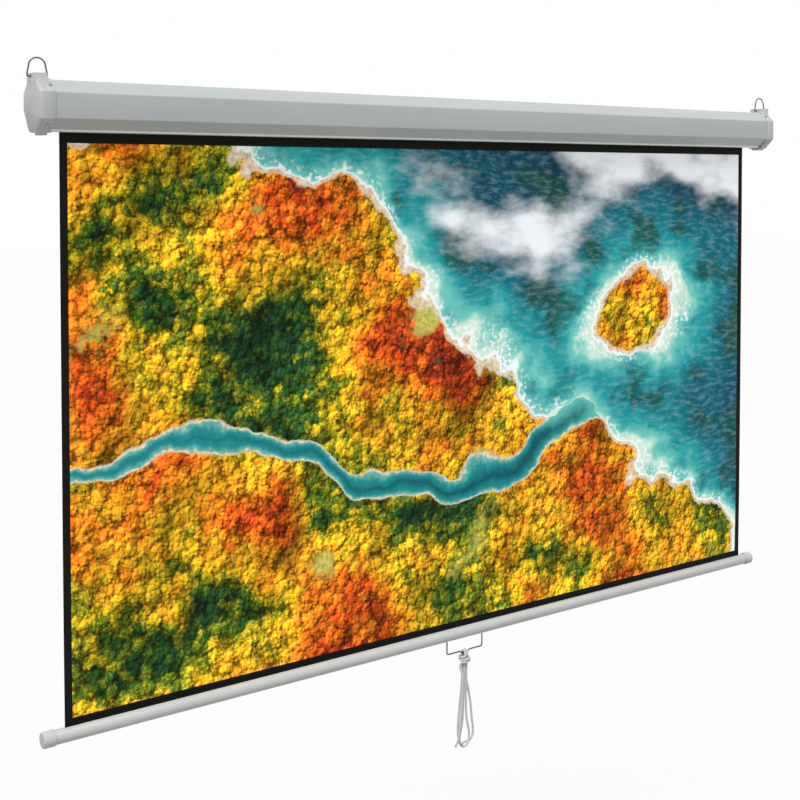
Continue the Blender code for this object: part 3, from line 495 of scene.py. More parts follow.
@dataclass(frozen=True)
class Braid(Finish):
    """Braided cord: strands that pass over and under in a diamond pattern, with painted shade in the hollows
    between them.
    """

    colour: Colour = (0.86, 0.86, 0.88)
    # The darker tone laid into the hollows between strands is painted shade.
    groove: Colour = (0.56, 0.56, 0.59)
    strands: float = 6.0
    pitch: float = 0.0042
    relief: float = 0.00022
    hairs: float = 2600.0
    fuzz: float = 0.35
    rough: float = 0.82

    def paint(self, graph: Graph) -> None:
        """Paints the braid.

        Args:
            graph: The material's tree.
        """
        turn, length, _ = graph.axes(graph.along("Along"))
        round_way = turn * (math.pi * self.strands)
        long_way = length * (math.pi / self.pitch)
        left, right = (round_way + long_way).sine(), (round_way - long_way).sine()
        checker = (left * right) > 0.0
        strand = abs(left) * checker + abs(right) * (1 - checker)
        height = strand + graph.noise(graph.place(), self.hairs, 3.0) * self.fuzz
        # Painted shade: the lower the braid's relief, the darker its colour.
        colour = graph.mix(height.ramp(0.15, 0.85), self.groove, self.colour)
        shape = {"Roughness": self.rough, "Normal": graph.bump(height, self.relief)}
        graph.surface(Base_Color=colour, Sheen_Weight=0.25, Sheen_Roughness=0.5, **shape)


@dataclass(frozen=True)
class BlackCloth(Finish):
    """Black coated cloth, for the border strip and the back of the sheet."""

    colour: Colour = (0.0065, 0.0065, 0.0055)
    linty: Colour = (0.014, 0.014, 0.013)
    lint: float = 320.0
    thread: float = 0.0009
    weave_depth: float = 0.00003
    rough: float = 0.55
    uneven: float = 0.2
    specular: float = 0.08

    def weave(self, graph: Graph, rest: Socket) -> Socket:
        """Raises the threads of the cloth.

        Args:
            graph: The material's tree.
            rest: The cloth's own coordinates.

        Returns:
            The direction for the shader's Normal.
        """
        across, down, _ = graph.axes(rest)
        step = 2 * math.pi / self.thread
        return graph.bump((across * step).sine() * (down * step).sine(), self.weave_depth)

    def paint(self, graph: Graph) -> None:
        """Paints the cloth.

        Args:
            graph: The material's tree.
        """
        rest = graph.along("Rest")
        lint = graph.noise(rest, self.lint, 5.0)
        colour = graph.mix(lint.ramp(0.55, 0.85), self.colour, self.linty)
        roughness = lint * self.uneven + self.rough
        shape = {"Roughness": roughness, "Normal": self.weave(graph, rest)}
        graph.surface(Base_Color=colour, Specular_IOR_Level=self.specular, **shape)


@dataclass(frozen=True)
class StudioFloor(Finish):
    """The pale floor, which shows as white as the backdrop and throws little light back."""

    pale: Colour = (0.98, 0.98, 0.98)
    dim: Colour = (0.40, 0.40, 0.40)
    white: Colour = (1.0, 1.0, 1.0)
    glow: float = 0.88

    def paint(self, graph: Graph) -> None:
        """Paints the floor.

        Args:
            graph: The material's tree.
        """
        tones = (self.pale, self.dim)
        pale, dim = (graph.add("ShaderNodeBsdfDiffuse", None, {"Color": tone}) for tone in tones)
        glow = graph.add("ShaderNodeEmission", None, {"Color": self.white, "Strength": BACKDROP})
        shares = {0: self.glow, 1: pale.outputs[0], 2: glow.outputs[0]}
        shown = graph.add("ShaderNodeMixShader", None, shares)
        shares = {0: graph.seen(), 1: dim.outputs[0], 2: shown.outputs[0]}
        mixed = graph.add("ShaderNodeMixShader", None, shares)
        graph.add("ShaderNodeOutputMaterial", None, {"Surface": mixed.outputs[0]})


@dataclass
class CoastPicture:
    """A made-up aerial view of a wooded autumn coast, painted on cloth.

    Every point has a height in metres of cloth: below zero is land, above zero is water
    that deepens. The numbers in its methods are the picture's drawing.
    """

    graph: Graph
    rest: Socket
    dry_grass: Colour = (0.72, 0.62, 0.16)
    green_grass: Colour = (0.34, 0.36, 0.06)
    dry_sand: Colour = (0.86, 0.76, 0.56)
    wet_sand: Colour = (0.56, 0.42, 0.26)
    shallows: Colour = (0.13, 0.50, 0.45)
    weed: Colour = (0.008, 0.060, 0.040)
    glint: Colour = (0.50, 0.78, 0.80)
    foam: Colour = (0.93, 0.96, 0.97)
    cloud: Colour = (0.93, 0.96, 0.99)
    cloud_shade: Colour = (0.01, 0.03, 0.06)

    def coast(self) -> Value:
        """Draws the shore, with bays, a headland and an island.

        Returns:
            How far a point lies out to sea.
        """
        graph, rest = self.graph, self.rest
        across, up, _ = graph.axes(rest)
        bays = graph.noise(rest, 2.1, 5.0) - 0.5
        edge = graph.noise(rest, 14.0, 6.0) - 0.5
        shore = (up - 0.50) * 0.75 + (across - 0.84) * 0.46 + bays * 0.95 + edge * 0.10
        far = graph.scaled(graph.moved(rest, (-1.27, -0.56, 0.0)), (1.0, 1.6, 1.0))
        out = graph.value("ShaderNodeVectorMath", {"operation": "LENGTH"}, {0: far}, 1)
        return shore.least(out - 0.13 + bays * 0.30 + edge * 0.13)

    def river(self) -> Value:
        """Draws a river that widens towards the sea.

        Returns:
            How far a point lies inside its banks.
        """
        across, up, _ = self.graph.axes(self.rest)
        bends = (across * 5.6 + 0.4).sine() * 0.075 + (self.graph.noise(self.rest, 5.0, 3.0) - 0.5) * 0.16
        return across * 0.018 + 0.010 - abs(up - bends - 0.34)

    def cells(self, place: Socket, scale: float) -> tuple[Value, Value]:
        """Sows tree crowns, as seen from above.

        Args:
            place: Where they are read.
            scale: How many to a metre.

        Returns:
            How near a point is to its crown's middle, and the crown's own random number.
        """
        layers = {"Detail": 2.0, "Roughness": 0.55, "Lacunarity": 2.6}
        sockets = {"Vector": place, "Scale": scale, **layers}
        node = self.graph.add("ShaderNodeTexVoronoi", {"normalize": True}, sockets)
        red = self.graph.add("ShaderNodeSeparateColor", None, {0: node.outputs["Color"]}).outputs[0]
        return 1 - Value(self.graph, node.outputs["Distance"]), Value(self.graph, red)

    def bent(self, place: Socket, scale: float, reach: float) -> Socket:
        """Bends coordinates with cloudy noise, so that patterns on them lose their regular shapes.

        Args:
            place: The coordinates.
            scale: How many bends to a metre.
            reach: How far a point moves, in metres.

        Returns:
            The bent coordinates.
        """
        clouds = {"Vector": place, "Scale": scale, "Detail": 3.0}
        warp = self.graph.add("ShaderNodeTexNoise", None, clouds).outputs[1]
        sockets = {0: warp, 1: (reach, reach, 0.0), 2: place}
        return self.graph.add("ShaderNodeVectorMath", {"operation": "MULTIPLY_ADD"}, sockets).outputs[0]

    def canopy(self, place: Socket) -> tuple[Value, Value]:
        """Stands large crowns over small ones.

        Args:
            place: Where it is read.

        Returns:
            The height and the number of the crown that stands highest.
        """
        large, large_kind = self.cells(place, 52.0)
        small, small_kind = self.cells(place, 108.0)
        lower = small * 0.62 + 0.10
        taller = large > lower
        return large.most(lower), large_kind * taller + small_kind * (1 - taller)

    def slope(self) -> Value:
        """Lights the hills from the upper left.

        Returns:
            A number from 0 in the shade to 1 in the sun.
        """
        steps = [self.graph.moved(self.rest, (-step, step, 0.0)) for step in (0.0, 0.022)]
        near, far = (self.graph.noise(place, 3.1, 6.0) for place in steps)
        return ((near - far) * 7.0 + 0.5).least(1.0).most(0.0)

    def woods(self) -> Socket:
        """Grows autumn woods on the hills.

        Returns:
            Their colour.
        """
        graph, rest = self.graph, self.rest
        place = self.bent(self.bent(rest, 40.0, 0.012), 260.0, 0.0045)
        height, kind = self.canopy(place)
        beyond, _ = self.canopy(graph.moved(place, (-0.0030, 0.0030, 0.0)))
        leaf = graph.noise(rest, 520.0, 3.0)
        slope = self.slope()
        region = graph.noise(rest, 2.9, 4.0)
        season = region.ramp(0.34, 0.68) * 0.76 + kind * 0.30 + leaf * 0.14 + slope * 0.10 - 0.16
        colour = graph.ramp(season.least(1.0), AUTUMN)
        sunny = ((height - beyond) * 4.6 + 0.82).most(0.04)
        gaps = height.ramp(0.52, 0.80) * 0.85 + 0.15
        light = sunny * gaps * (leaf * 2.2 - 0.02).most(0.1) * (slope * 1.30 + 0.34)
        shade = graph.add("ShaderNodeCombineColor", None, {0: light, 1: light, 2: light * 0.90 + 0.04})
        return graph.mix(1.0, colour, shade.outputs[0], "MULTIPLY")

    def land(self, height: Value) -> Socket:
        """Lays woods with clearings, a sandy shore and the river.

        Args:
            height: The coast's height.

        Returns:
            The land's colour.
        """
        graph, rest = self.graph, self.rest
        grain = graph.noise(rest, 110.0, 5.0)
        loose = (grain - 0.5) * 0.12
        grass = graph.mix(grain.ramp(0.3, 0.7), self.dry_grass, self.green_grass)
        open_land = (graph.noise(graph.moved(rest, (3.1, 7.7, 0.0)), 4.4, 5.0) + loose).ramp(0.62, 0.68)
        colour = graph.mix(open_land, self.woods(), grass)
        sand = graph.mix(grain.ramp(0.3, 0.7), self.dry_sand, self.wet_sand)
        colour = graph.mix((height + loose * 0.20).ramp(-0.024, -0.013), colour, sand)
        inside = self.river() + loose * 0.10
        colour = graph.mix(inside.ramp(-0.0055, -0.0015), colour, sand)
        flow = graph.ramp(inside * 30.0, RIVER_DEPTHS)
        flow = graph.mix(height.ramp(-0.075, 0.0) * 0.9, flow, self.shallows)
        return graph.mix(inside.ramp(-0.0015, 0.0015), colour, flow)

    def water(self, height: Value) -> Socket:
        """Lays clear water over sand, reef and depth, with a light swell.

        Args:
            height: The coast's height.

        Returns:
            The water's colour.
        """
        graph, rest = self.graph, self.rest
        reef = graph.noise(rest, 9.0, 8.0)
        colour = graph.ramp((height * 1.9 + (reef - 0.5) * 0.46).most(0.0), SEA_DEPTHS)
        weed = reef.ramp(0.52, 0.62) * height.ramp(0.02, 0.11) * 0.80
        colour = graph.mix(weed, colour, self.weed)
        swell = graph.noise(graph.scaled(self.bent(rest, 6.0, 0.05), (38.0, 105.0, 1.0)), 1.0, 4.0)
        glitter = graph.noise(graph.scaled(rest, (170.0, 420.0, 1.0)), 1.0, 2.0).ramp(0.60, 0.74)
        return graph.mix(swell.ramp(0.42, 0.78) * 0.20 + glitter * 0.22, colour, self.glint)

    def clouds(self, below: Socket) -> Socket:
        """Lays drifts of thin cloud, and their shade, over the picture.

        Args:
            below: The picture's colour.

        Returns:
            The colour with the clouds on it.
        """
        graph, rest = self.graph, self.rest
        across, up, _ = graph.axes(rest)
        where = across.ramp(0.45, 0.85) * up.ramp(0.50, 0.80)
        shapes = [graph.scaled(graph.moved(rest, (step, step, 0.0)), (1.0, 1.9, 1.0)) for step in (0.0, 0.03)]
        cover, beside = (graph.noise(shape, 3.3, 8.0) + where * 0.24 - 0.08 for shape in shapes)
        shaded = graph.mix(beside.ramp(0.66, 0.76) * 0.45, below, self.cloud_shade)
        return graph.mix(cover.ramp(0.62, 0.80) * 0.92, shaded, self.cloud)

    def colour(self) -> Socket:
        """Puts the whole picture together.

        Returns:
            Its colour.
        """
        graph = self.graph
        height = self.coast()
        froth = graph.noise(self.rest, 95.0, 6.0)
        line = (height + (froth - 0.5) * 0.030).ramp(0.010, 0.002)
        patches = froth.ramp(0.50, 0.60) * height.ramp(0.060, 0.010)
        calm = self.river().ramp(0.002, -0.016)
        sea = graph.mix(line.most(patches) * calm * 0.88, self.water(height), self.foam)
        return self.clouds(graph.mix(height.ramp(-0.003, 0.001), self.land(height), sea))


@dataclass(frozen=True)
class PictureCloth(BlackCloth):
    """The viewing sheet: a picture inside black borders, on a dark backing, which glows with painted light.
    """

    width: float = 1.62
    length: float = 0.955
    side_border: float = 0.013
    top_border: float = 0.055
    bottom_border: float = 0.001
    soft: float = 0.0004
    backing: Colour = (0.026, 0.026, 0.028)
    backing_worn: Colour = (0.031, 0.031, 0.033)
    rubbed_stretch: Spot = (5.0, 22.0, 1.0)
    rough: float = 0.62
    uneven: float = 0.1
    # How brightly the sheet glows in its own colour: painted light, where no lamp is.
    glow: float = 0.45

    def inside(self, across: Value, up: Value) -> Value:
        """Marks what lies inside the black borders, with softly printed edges.

        Args:
            across: How far a point lies from the sheet's left edge.
            up: How far it lies above the lower edge.

        Returns:
            1 inside the borders and 0 on them.
        """
        soft, right, top = self.soft, self.width - self.side_border, self.length - self.top_border
        mask = across.ramp(self.side_border - soft, self.side_border + soft)
        mask = mask * across.ramp(right + soft, right - soft) * up.ramp(top + soft, top - soft)
        return mask * up.ramp(self.bottom_border - soft, self.bottom_border + soft)

    def paint(self, graph: Graph) -> None:
        """Paints the sheet.

        Args:
            graph: The material's tree.
        """
        rest = graph.along("Rest")
        across, up, _ = graph.axes(rest)
        front = graph.value("ShaderNodeAttribute", {"attribute_name": "front"}, output="Fac")
        rubbed = graph.noise(graph.scaled(rest, self.rubbed_stretch), 1.0, 6.0).ramp(0.45, 0.75)
        cloth = graph.mix(front, graph.mix(rubbed, self.backing, self.backing_worn), self.colour)
        colour = graph.mix(self.inside(across, up) * front, cloth, CoastPicture(graph, rest).colour())
        graph.surface(
            Base_Color=colour,
            Roughness=graph.noise(rest, 60.0, 3.0) * self.uneven + self.rough,
            Normal=self.weave(graph, rest),
            Specular_IOR_Level=self.specular,
            # Painted light: the sheet glows in its own colour.
            Emission_Color=colour,
            Emission_Strength=self.glow,
        )


POWDER_COAT = PowderCoat("white powder coat")
CAP_PLASTIC = Moulding("white cap plastic")
NYLON = Moulding("natural nylon", (0.78, 0.77, 0.71), (0.70, 0.69, 0.63), 900.0, 0.000015, 0.34)
ROD_PLASTIC = Moulding("grey rod plastic", (0.52, 0.53, 0.55), (0.46, 0.47, 0.49), 1100.0, 0.000015, 0.40)
NICKEL_WIRE = PlatedWire("dark nickel wire")
ZINC = Plate("zinc plate")
SCREW_NICKEL = Plate("dull nickel screw", (0.42, 0.42, 0.41), (0.34, 0.33, 0.31), 0.24)
SPRING_STEEL = Plate("oiled spring steel", (0.16, 0.155, 0.15), (0.10, 0.09, 0.085), 0.18)
BAR_LACQUER = BarCoat("white bar lacquer")
CORD_BRAID = Braid("braided cord")
MELTED_END = Moulding("melted cord end", (0.62, 0.61, 0.58), (0.48, 0.46, 0.42), 700.0, 0.00004, 0.28)
BORDER_CLOTH = BlackCloth("black border cloth")

INSIDE_FINISHES = {
    ZINC: [
        "bracket_left", "bracket_right", "spear_shaft", "ratchet_hub", "roller_tube",
        "pawl_1", "pawl_2", "pawl_pin_1", "pawl_pin_2", "handle_keeper",
        "bracket_screw_left_1", "bracket_screw_left_2", "bracket_screw_right_1", "bracket_screw_right_2",
    ],
    NYLON: ["journal_bush", "spring_anchor", "idle_end_plug", "spring_end_plug"],
    SPRING_STEEL: ["torsion_spring"],
    ROD_PLASTIC: ["hem_rod"],
}


def span(node: str) -> tuple[Vector, Vector]:
    """The lowest and highest corner of a CAD node, as vectors."""
    low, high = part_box(node)
    return Vector(low), Vector(high)


def middle_of(node: str) -> Vector:
    """The middle of a CAD node's box."""
    low, high = span(node)
    return (low + high) / 2


def set_down(name: str, data: bpy.types.ID) -> Piece:
    """Puts a mesh, lamp or camera into the scene.

    Args:
        name: The object's name.
        data: What it shows.

    Returns:
        The object.
    """
    piece = bpy.data.objects.new(name, data)
    bpy.context.scene.collection.objects.link(piece)
    return piece


def mesh_of(name: str, bm: Mesh, finish: Finish) -> bpy.types.Mesh:
    """Turns finished mesh code into a mesh.

    Args:
        name: The mesh's name.
        bm: The mesh code, which is used up.
        finish: The mesh's finish.

    Returns:
        The mesh.
    """
    mesh = bpy.data.meshes.new(name)
    bm.to_mesh(mesh)
    bm.free()
    mesh.materials.append(material_of(finish))
    return mesh


def add_piece(
    name: str,
    bm: Mesh,
    finish: Finish,
    body: Body,
    stands_for: Sequence[str],
    sharp: float = 35.0,
) -> Piece:
    """Turns finished mesh code into a piece of the screen.

    Args:
        name: The piece's name.
        bm: Its mesh, which is used up.
        finish: Its finish.
        body: The body it rides on.
        stands_for: The CAD nodes it replaces, which are hidden.
        sharp: The angle between faces, in degrees, past which an edge stays sharp.

    Returns:
        The piece.
    """
    mesh = mesh_of(name, bm, finish)
    mesh.shade_smooth()
    mesh.set_sharp_from_angle(angle=math.radians(sharp))
    piece = set_down(name, mesh)
    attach(piece, body.value)
    if stands_for:
        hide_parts(*stands_for)
    LOG.info("%s: %d faces, %s, rides on %s", name, len(mesh.polygons), finish.name, body.value)
    return piece


def arc_stops(centre: Point, radius: float, degrees: Sequence[float]) -> list[Point]:
    """The points of a circle at given angles in degrees."""
    angles = [math.radians(degree) for degree in degrees]
    return [(centre[0] + radius * math.cos(a), centre[1] + radius * math.sin(a)) for a in angles]


def arc(centre: Point, radius: float, start: float, end: float, steps: int) -> list[Point]:
    """The points of an arc, from start to end in degrees, in equal steps."""
    return arc_stops(centre, radius, [start + (end - start) * step / steps for step in range(steps + 1)])


def smooth_line(points: Sequence[Vector], steps: int) -> list[Vector]:
    """Draws a Catmull-Rom curve.

    Args:
        points: What it passes through.
        steps: How many steps it takes from each point to the next.

    Returns:
        The curve's points.
    """
    line = []
    last = len(points) - 1
    for index in range(last):
        before, start = points[max(index - 1, 0)], points[index]
        end, after = points[index + 1], points[min(index + 2, last)]
        slope, bow = end - before, 2 * before - 5 * start + 4 * end - after
        twist = 3 * start - before - 3 * end + after
        for step in range(steps):
            t = step / steps
            line.append(0.5 * (2 * start + slope * t + bow * t**2 + twist * t**3))
    return line + [points[-1]]


def line_length(points: Sequence[Vector]) -> float:
    """The length of a line through points."""
    return sum((end - start).length for start, end in zip(points, points[1:]))


def round_tube(path: Sequence[Vector], radius: float, sides: int) -> Mesh:
    """Rolls a flat grid round a path into a closed tube with rounded ends.

    Args:
        path: The tube's centreline.
        radius: The tube's radius.
        sides: How many sides it has.

    Returns:
        The tube, with a UV map "Along" in turns and metres.
    """
    total = line_length(path)
    travelled = 0.0
    rings = []
    side = Vector((0.0, 0.0, 1.0))
    for index, point in enumerate(path):
        ahead = (path[min(index + 1, len(path) - 1)] - path[max(index - 1, 0)]).normalized()
        side = side - ahead * side.dot(ahead)
        if side.length < LEAST_SIDE:
            side = ahead.orthogonal()
        side.normalize()
        if index > 0:
            travelled += (point - path[index - 1]).length
        to_end = min(travelled, total - travelled)
        drop = max(0.0, 1 - to_end / radius)
        reach = radius * math.sqrt(1 - TIP_SHRINK * drop**2)
        rings.append((point, side.copy(), ahead.cross(side), travelled, reach))
    bm = bmesh.new()
    uv = bm.loops.layers.uv.new("Along")
    bmesh.ops.create_grid(bm, x_segments=sides, y_segments=len(path) - 1, size=1.0)
    last = len(path) - 1
    for face in bm.faces:
        for loop in face.loops:
            across, along = (loop.vert.co.x + 1) / 2, (loop.vert.co.y + 1) / 2
            loop[uv].uv = (across, rings[round(along * last)][3])
    for vert in bm.verts:
        angle = math.pi * (vert.co.x + 1)
        point, first, second, _, reach = rings[round((vert.co.y + 1) / 2 * last)]
        vert.co = point + reach * (math.cos(angle) * first + math.sin(angle) * second)
    bmesh.ops.remove_doubles(bm, verts=bm.verts, dist=radius * SEAM_SHARE)
    bmesh.ops.holes_fill(bm, edges=rim_of(bm), sides=0)
    bmesh.ops.recalc_face_normals(bm, faces=bm.faces)
    return bm


def line_of(bm: Mesh, points: Sequence[Sequence[float]], closed: bool = False) -> list[Edge]:
    """Draws edges through points, and back to the first if the line is closed."""
    verts = [bm.verts.new(point) for point in points]
    return [bm.edges.new(pair) for pair in zip(verts, verts[1:] + verts[: int(closed)])]


def spun(points: Sequence[Vector], axis: Vector, steps: int, closed: bool, weld: float) -> Mesh:
    """Spins a profile once about an axis through the origin.

    Args:
        points: The profile.
        axis: The direction of the axis.
        steps: How many steps the turn takes.
        closed: Whether the profile's last point joins its first.
        weld: How near points have to be to become one.

    Returns:
        The turned skin.
    """
    bm = bmesh.new()
    edges = line_of(bm, points, closed)
    turn = {"cent": (0, 0, 0), "axis": axis, "angle": 2 * math.pi, "steps": steps}
    bmesh.ops.spin(bm, geom=[*bm.verts, *edges], use_merge=True, **turn)
    bmesh.ops.remove_doubles(bm, verts=bm.verts, dist=weld)
    return bm


def rim_of(bm: Mesh) -> list[Edge]:
    """The edges round a skin's openings."""
    return [edge for edge in bm.edges if edge.is_boundary]


def pulled_out(bm: Mesh, edges: Sequence[Edge]) -> list[Vert]:
    """Extrudes edges, and gives the new vertices to be moved."""
    drawn = bmesh.ops.extrude_edge_only(bm, edges=edges)["geom"]
    return [item for item in drawn if isinstance(item, Vert)]


def drawn_out(path: Sequence[Point], low_x: float, high_x: float) -> Mesh:
    """Draws a line out along X into a thin skin.

    Args:
        path: The line, as (y, z).
        low_x: Where the skin starts.
        high_x: Where it ends.

    Returns:
        The skin.
    """
    bm = bmesh.new()
    edges = line_of(bm, [(low_x, y, z) for y, z in path])
    bmesh.ops.translate(bm, verts=pulled_out(bm, edges), vec=(high_x - low_x, 0, 0))
    return bm


def round_edges(bm: Mesh, edges: Sequence[Edge], offset: float, segments: int) -> None:
    """Bevels edges to a round."""
    settings = {"profile": 0.5, "affect": "EDGES", "material": -1, "clamp_overlap": True}
    bmesh.ops.bevel(bm, geom=edges, offset=offset, segments=segments, **settings)


def lay_rest_map(bm: Mesh, lengths: Sequence[float] | None = None) -> None:
    """Gives cloth its own coordinates, in metres across and up.

    Args:
        bm: The cloth, flat in X and Z unless lengths says otherwise.
        lengths: How far along the cloth each vertex lies, in the order of the vertices.
    """
    low_x = min(vert.co.x for vert in bm.verts)
    low_z = min(vert.co.z for vert in bm.verts)
    uv = bm.loops.layers.uv.new("Rest")
    bm.verts.index_update()
    for face in bm.faces:
        for loop in face.loops:
            up = loop.vert.co.z - low_z if lengths is None else lengths[loop.vert.index]
            loop[uv].uv = (loop.vert.co.x - low_x, up)


@dataclass
class SoftenedNode:
    """A rebuilt copy of a CAD node, merged, cleaned and with its open edges broken."""

    node: str
    finish: Finish
    body: Body
    edge: float = 0.0004
    segments: int = 2
    flat: float = math.radians(0.6)
    least_turn: float = math.radians(20)
    skin: float = 1e-5
    reach: float = 2.0
    sharp: float = 30.0

    def build(self) -> None:
        """Copies the node and rounds the edges that stand open."""
        bm = bmesh.new()
        bm.from_mesh(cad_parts[self.node].data)
        bmesh.ops.remove_doubles(bm, verts=bm.verts, dist=WELD)
        bmesh.ops.dissolve_limit(bm, angle_limit=self.flat, verts=bm.verts, edges=bm.edges)
        round_edges(bm, self.open_edges(bm), self.edge, self.segments)
        bmesh.ops.remove_doubles(bm, verts=bm.verts, dist=WELD)
        bmesh.ops.dissolve_degenerate(bm, edges=bm.edges, dist=WELD)
        add_piece(f"{self.node}_shell", bm, self.finish, self.body, [self.node], self.sharp)

    def open_edges(self, bm: Mesh) -> list[Edge]:
        """Finds the convex edges whose two faces look out into the open.

        Args:
            bm: The merged copy.

        Returns:
            The edges.
        """
        tree = BVHTree.FromBMesh(bm)
        bm.faces.index_update()
        looks_out = {}
        for face in bm.faces:
            start = face.calc_center_median() + face.normal * self.skin
            looks_out[face.index] = tree.ray_cast(start, face.normal, self.reach)[0] is None
        found = []
        for edge in bm.edges:
            if len(edge.link_faces) != 2 or not edge.is_convex:
                continue
            out = all(looks_out[face.index] for face in edge.link_faces)
            if out and edge.calc_face_angle() > self.least_turn:
                found.append(edge)
        return found


@dataclass
class Case:
    """The folded steel case with its end caps, screws and hanging rings."""

    chamfer: float = 0.0195
    rear_chamfer: float = 0.032
    sheet: float = 0.001
    front_lip: float = 0.0025
    slot_front: float = 0.008
    slot_rear: float = 0.020
    slot_flange: float = 0.004
    slot_hem: float = 0.003
    fold: float = 0.0011
    fold_steps: int = 4
    lean: float = 45.0

    def profile(self) -> list[Point]:
        """Folds the case's line from the slot's front lip round to its rear.

        Returns:
            The line's corners, as (y, z).
        """
        low, high = span("case_shell")
        front, rear, bottom, top = low.y, high.y, low.z, high.z
        share = (rear - self.slot_rear - self.slot_flange) / self.chamfer
        flange_z = bottom + self.rear_chamfer * (1 - share)
        return [
            (self.slot_front, bottom + self.slot_hem),
            (self.slot_front, bottom),
            (front + self.chamfer, bottom),
            (front + self.chamfer, bottom + self.front_lip),
            (front, bottom + self.chamfer),
            (front, top - self.chamfer),
            (front + self.chamfer, top),
            (rear - self.chamfer, top),
            (rear, top - self.chamfer),
            (rear, bottom + self.rear_chamfer),
            (self.slot_rear + self.slot_flange, flange_z),
            (self.slot_rear, flange_z),
        ]

    def build(self) -> None:
        """Builds the case and everything fixed to it."""
        low, high = span("case_shell")
        shell = drawn_out(self.profile(), low.x, high.x)
        folds = [edge for edge in shell.edges if len(edge.link_faces) == 2]
        round_edges(shell, folds, self.fold, self.fold_steps)
        bmesh.ops.solidify(shell, geom=list(shell.faces), thickness=self.sheet)
        add_piece("case_sheet", shell, POWDER_COAT, Body.CASE, ["case_shell"])
        for side in Side:
            SoftenedNode(f"end_cap_{side.word}", CAP_PLASTIC, Body.CASE).build()
            CapScrew(f"cap_screw_{side.word}_front", -self.lean).build()
            CapScrew(f"cap_screw_{side.word}_rear", self.lean).build()
            CapScrew(f"cap_screw_{side.word}_front", -self.lean, lower=True).build()
            HangingRing(side).build()


@dataclass
class CapScrew:
    """A cross-recessed pan-head screw on a cap's chamfer, or its twin on the chamfer below."""

    node: str
    lean: float
    lower: bool = False
    lower_shift: float = 0.003
    shank: float = 0.0015
    head: float = 0.003
    height: float = 0.0016
    crown: float = 0.0021
    side_share: float = 0.45
    shoulder: float = 0.93
    shoulder_share: float = 0.72
    seat_share: float = 0.6
    length: float = 0.008
    recess_reach: float = 0.0014
    recess_half: float = 0.00032
    recess_depth: float = 0.0010
    recess_taper: float = 0.55
    segments: int = 32

    def build(self) -> None:
        """Builds the screw where the CAD screw stands."""
        profile = [(0.0, -self.length), (self.shank, self.shank - self.length), (self.shank, 0.0)]
        profile += [(self.head, 0.0), (self.head, self.height * self.side_share)]
        profile += [(self.head * self.shoulder, self.height * self.shoulder_share), (self.crown, self.height)]
        skin = [Vector((radius, 0, z)) for radius, z in profile]
        bm = spun(skin, Vector((0, 0, 1)), self.segments, False, WELD / 10)
        rim, cross = rim_of(bm), self.cross(bm)
        bmesh.ops.bridge_loops(bm, edges=rim + cross)
        floor = pulled_out(bm, cross)
        bmesh.ops.translate(bm, verts=floor, vec=(0, 0, -self.recess_depth))
        bmesh.ops.scale(bm, verts=floor, vec=(self.recess_taper, self.recess_taper, 1.0))
        bmesh.ops.holes_fill(bm, edges=rim_of(bm), sides=0)
        bmesh.ops.transform(bm, matrix=self.place(), verts=bm.verts)
        if self.lower:
            low, high = span("case_shell")
            shift = math.copysign(self.lower_shift, span(self.node)[0].x)
            flip = Matrix.Translation((shift, 0, low.z + high.z)) @ Matrix.Diagonal((1, 1, -1, 1))
            bmesh.ops.transform(bm, matrix=flip, verts=bm.verts)
        bmesh.ops.recalc_face_normals(bm, faces=bm.faces)
        ending, stands_for = ("lower", []) if self.lower else ("cross", [self.node])
        add_piece(f"{self.node}_{ending}", bm, SCREW_NICKEL, Body.CASE, stands_for)

    def cross(self, bm: Mesh) -> list[Edge]:
        """Draws the recess's outline on the head's top.

        Args:
            bm: The screw.

        Returns:
            The outline's edges.
        """
        arm, half = self.recess_reach, self.recess_half
        corners = []
        for turn in range(4):
            for x, y in ((arm, -half), (arm, half), (half, half)):
                for _ in range(turn):
                    x, y = -y, x
                corners.append((x, y, self.height))
        return line_of(bm, corners, True)

    def place(self) -> Matrix:
        """Works out where the head's underside sits from the CAD screw's box.

        Returns:
            The screw's place and lean.
        """
        low, high = span(self.node)
        tilt = math.radians(self.lean)
        out = Vector((0.0, math.sin(tilt), math.cos(tilt)))
        top = Vector((middle_of(self.node).x, high.y if self.lean > 0 else low.y, high.z))
        reach = abs(out.y) * self.height + abs(out.z) * self.head * self.seat_share
        head = Vector((top.x, top.y - math.copysign(reach, out.y), top.z - reach))
        return Matrix.Translation(head) @ Matrix.Rotation(-tilt, 4, "X")


@dataclass
class HangingRing:
    """A wire bail on a cap's pad."""

    side: Side
    centre_x: float = 0.850
    wire: float = 0.0026
    width: float = 0.032
    crown: float = 0.027
    bend: float = 0.003
    foot: float = 0.0122
    bend_steps: int = 8
    crown_steps: int = 40
    crown_lean: float = 4.0

    def path(self) -> list[Vector]:
        """Bends the wire from one foot over the crown to the other.

        Returns:
            The wire's centreline.
        """
        low, high = span(f"hanging_ring_{self.side.word}")
        feet = sorted((abs(low.x), abs(high.x)))
        pivot = low.z + self.wire / 2
        half, crown = self.width / 2, self.crown / 2
        inner, outer = self.centre_x - half, self.centre_x + half
        path = [(feet[0] + self.foot, pivot)]
        path += arc((inner + self.bend, pivot + self.bend), self.bend, 270, 180, self.bend_steps)
        centre = (self.centre_x, high.z - self.wire / 2 - crown)
        path += arc(centre, crown, 180 - self.crown_lean, self.crown_lean, self.crown_steps)
        path += arc((outer - self.bend, pivot + self.bend), self.bend, 0, -90, self.bend_steps)
        path.append((feet[1] - self.foot, pivot))
        return [Vector((self.side.value * x, 0.0, z)) for x, z in path]

    def build(self) -> None:
        """Bends the ring."""
        body = Body.RING_LEFT if self.side is Side.LEFT else Body.RING_RIGHT
        bm = round_tube(self.path(), self.wire / 2, WIRE_SIDES)
        add_piece(f"ring_wire_{self.side.word}", bm, NICKEL_WIRE, body, [f"hanging_ring_{self.side.word}"])


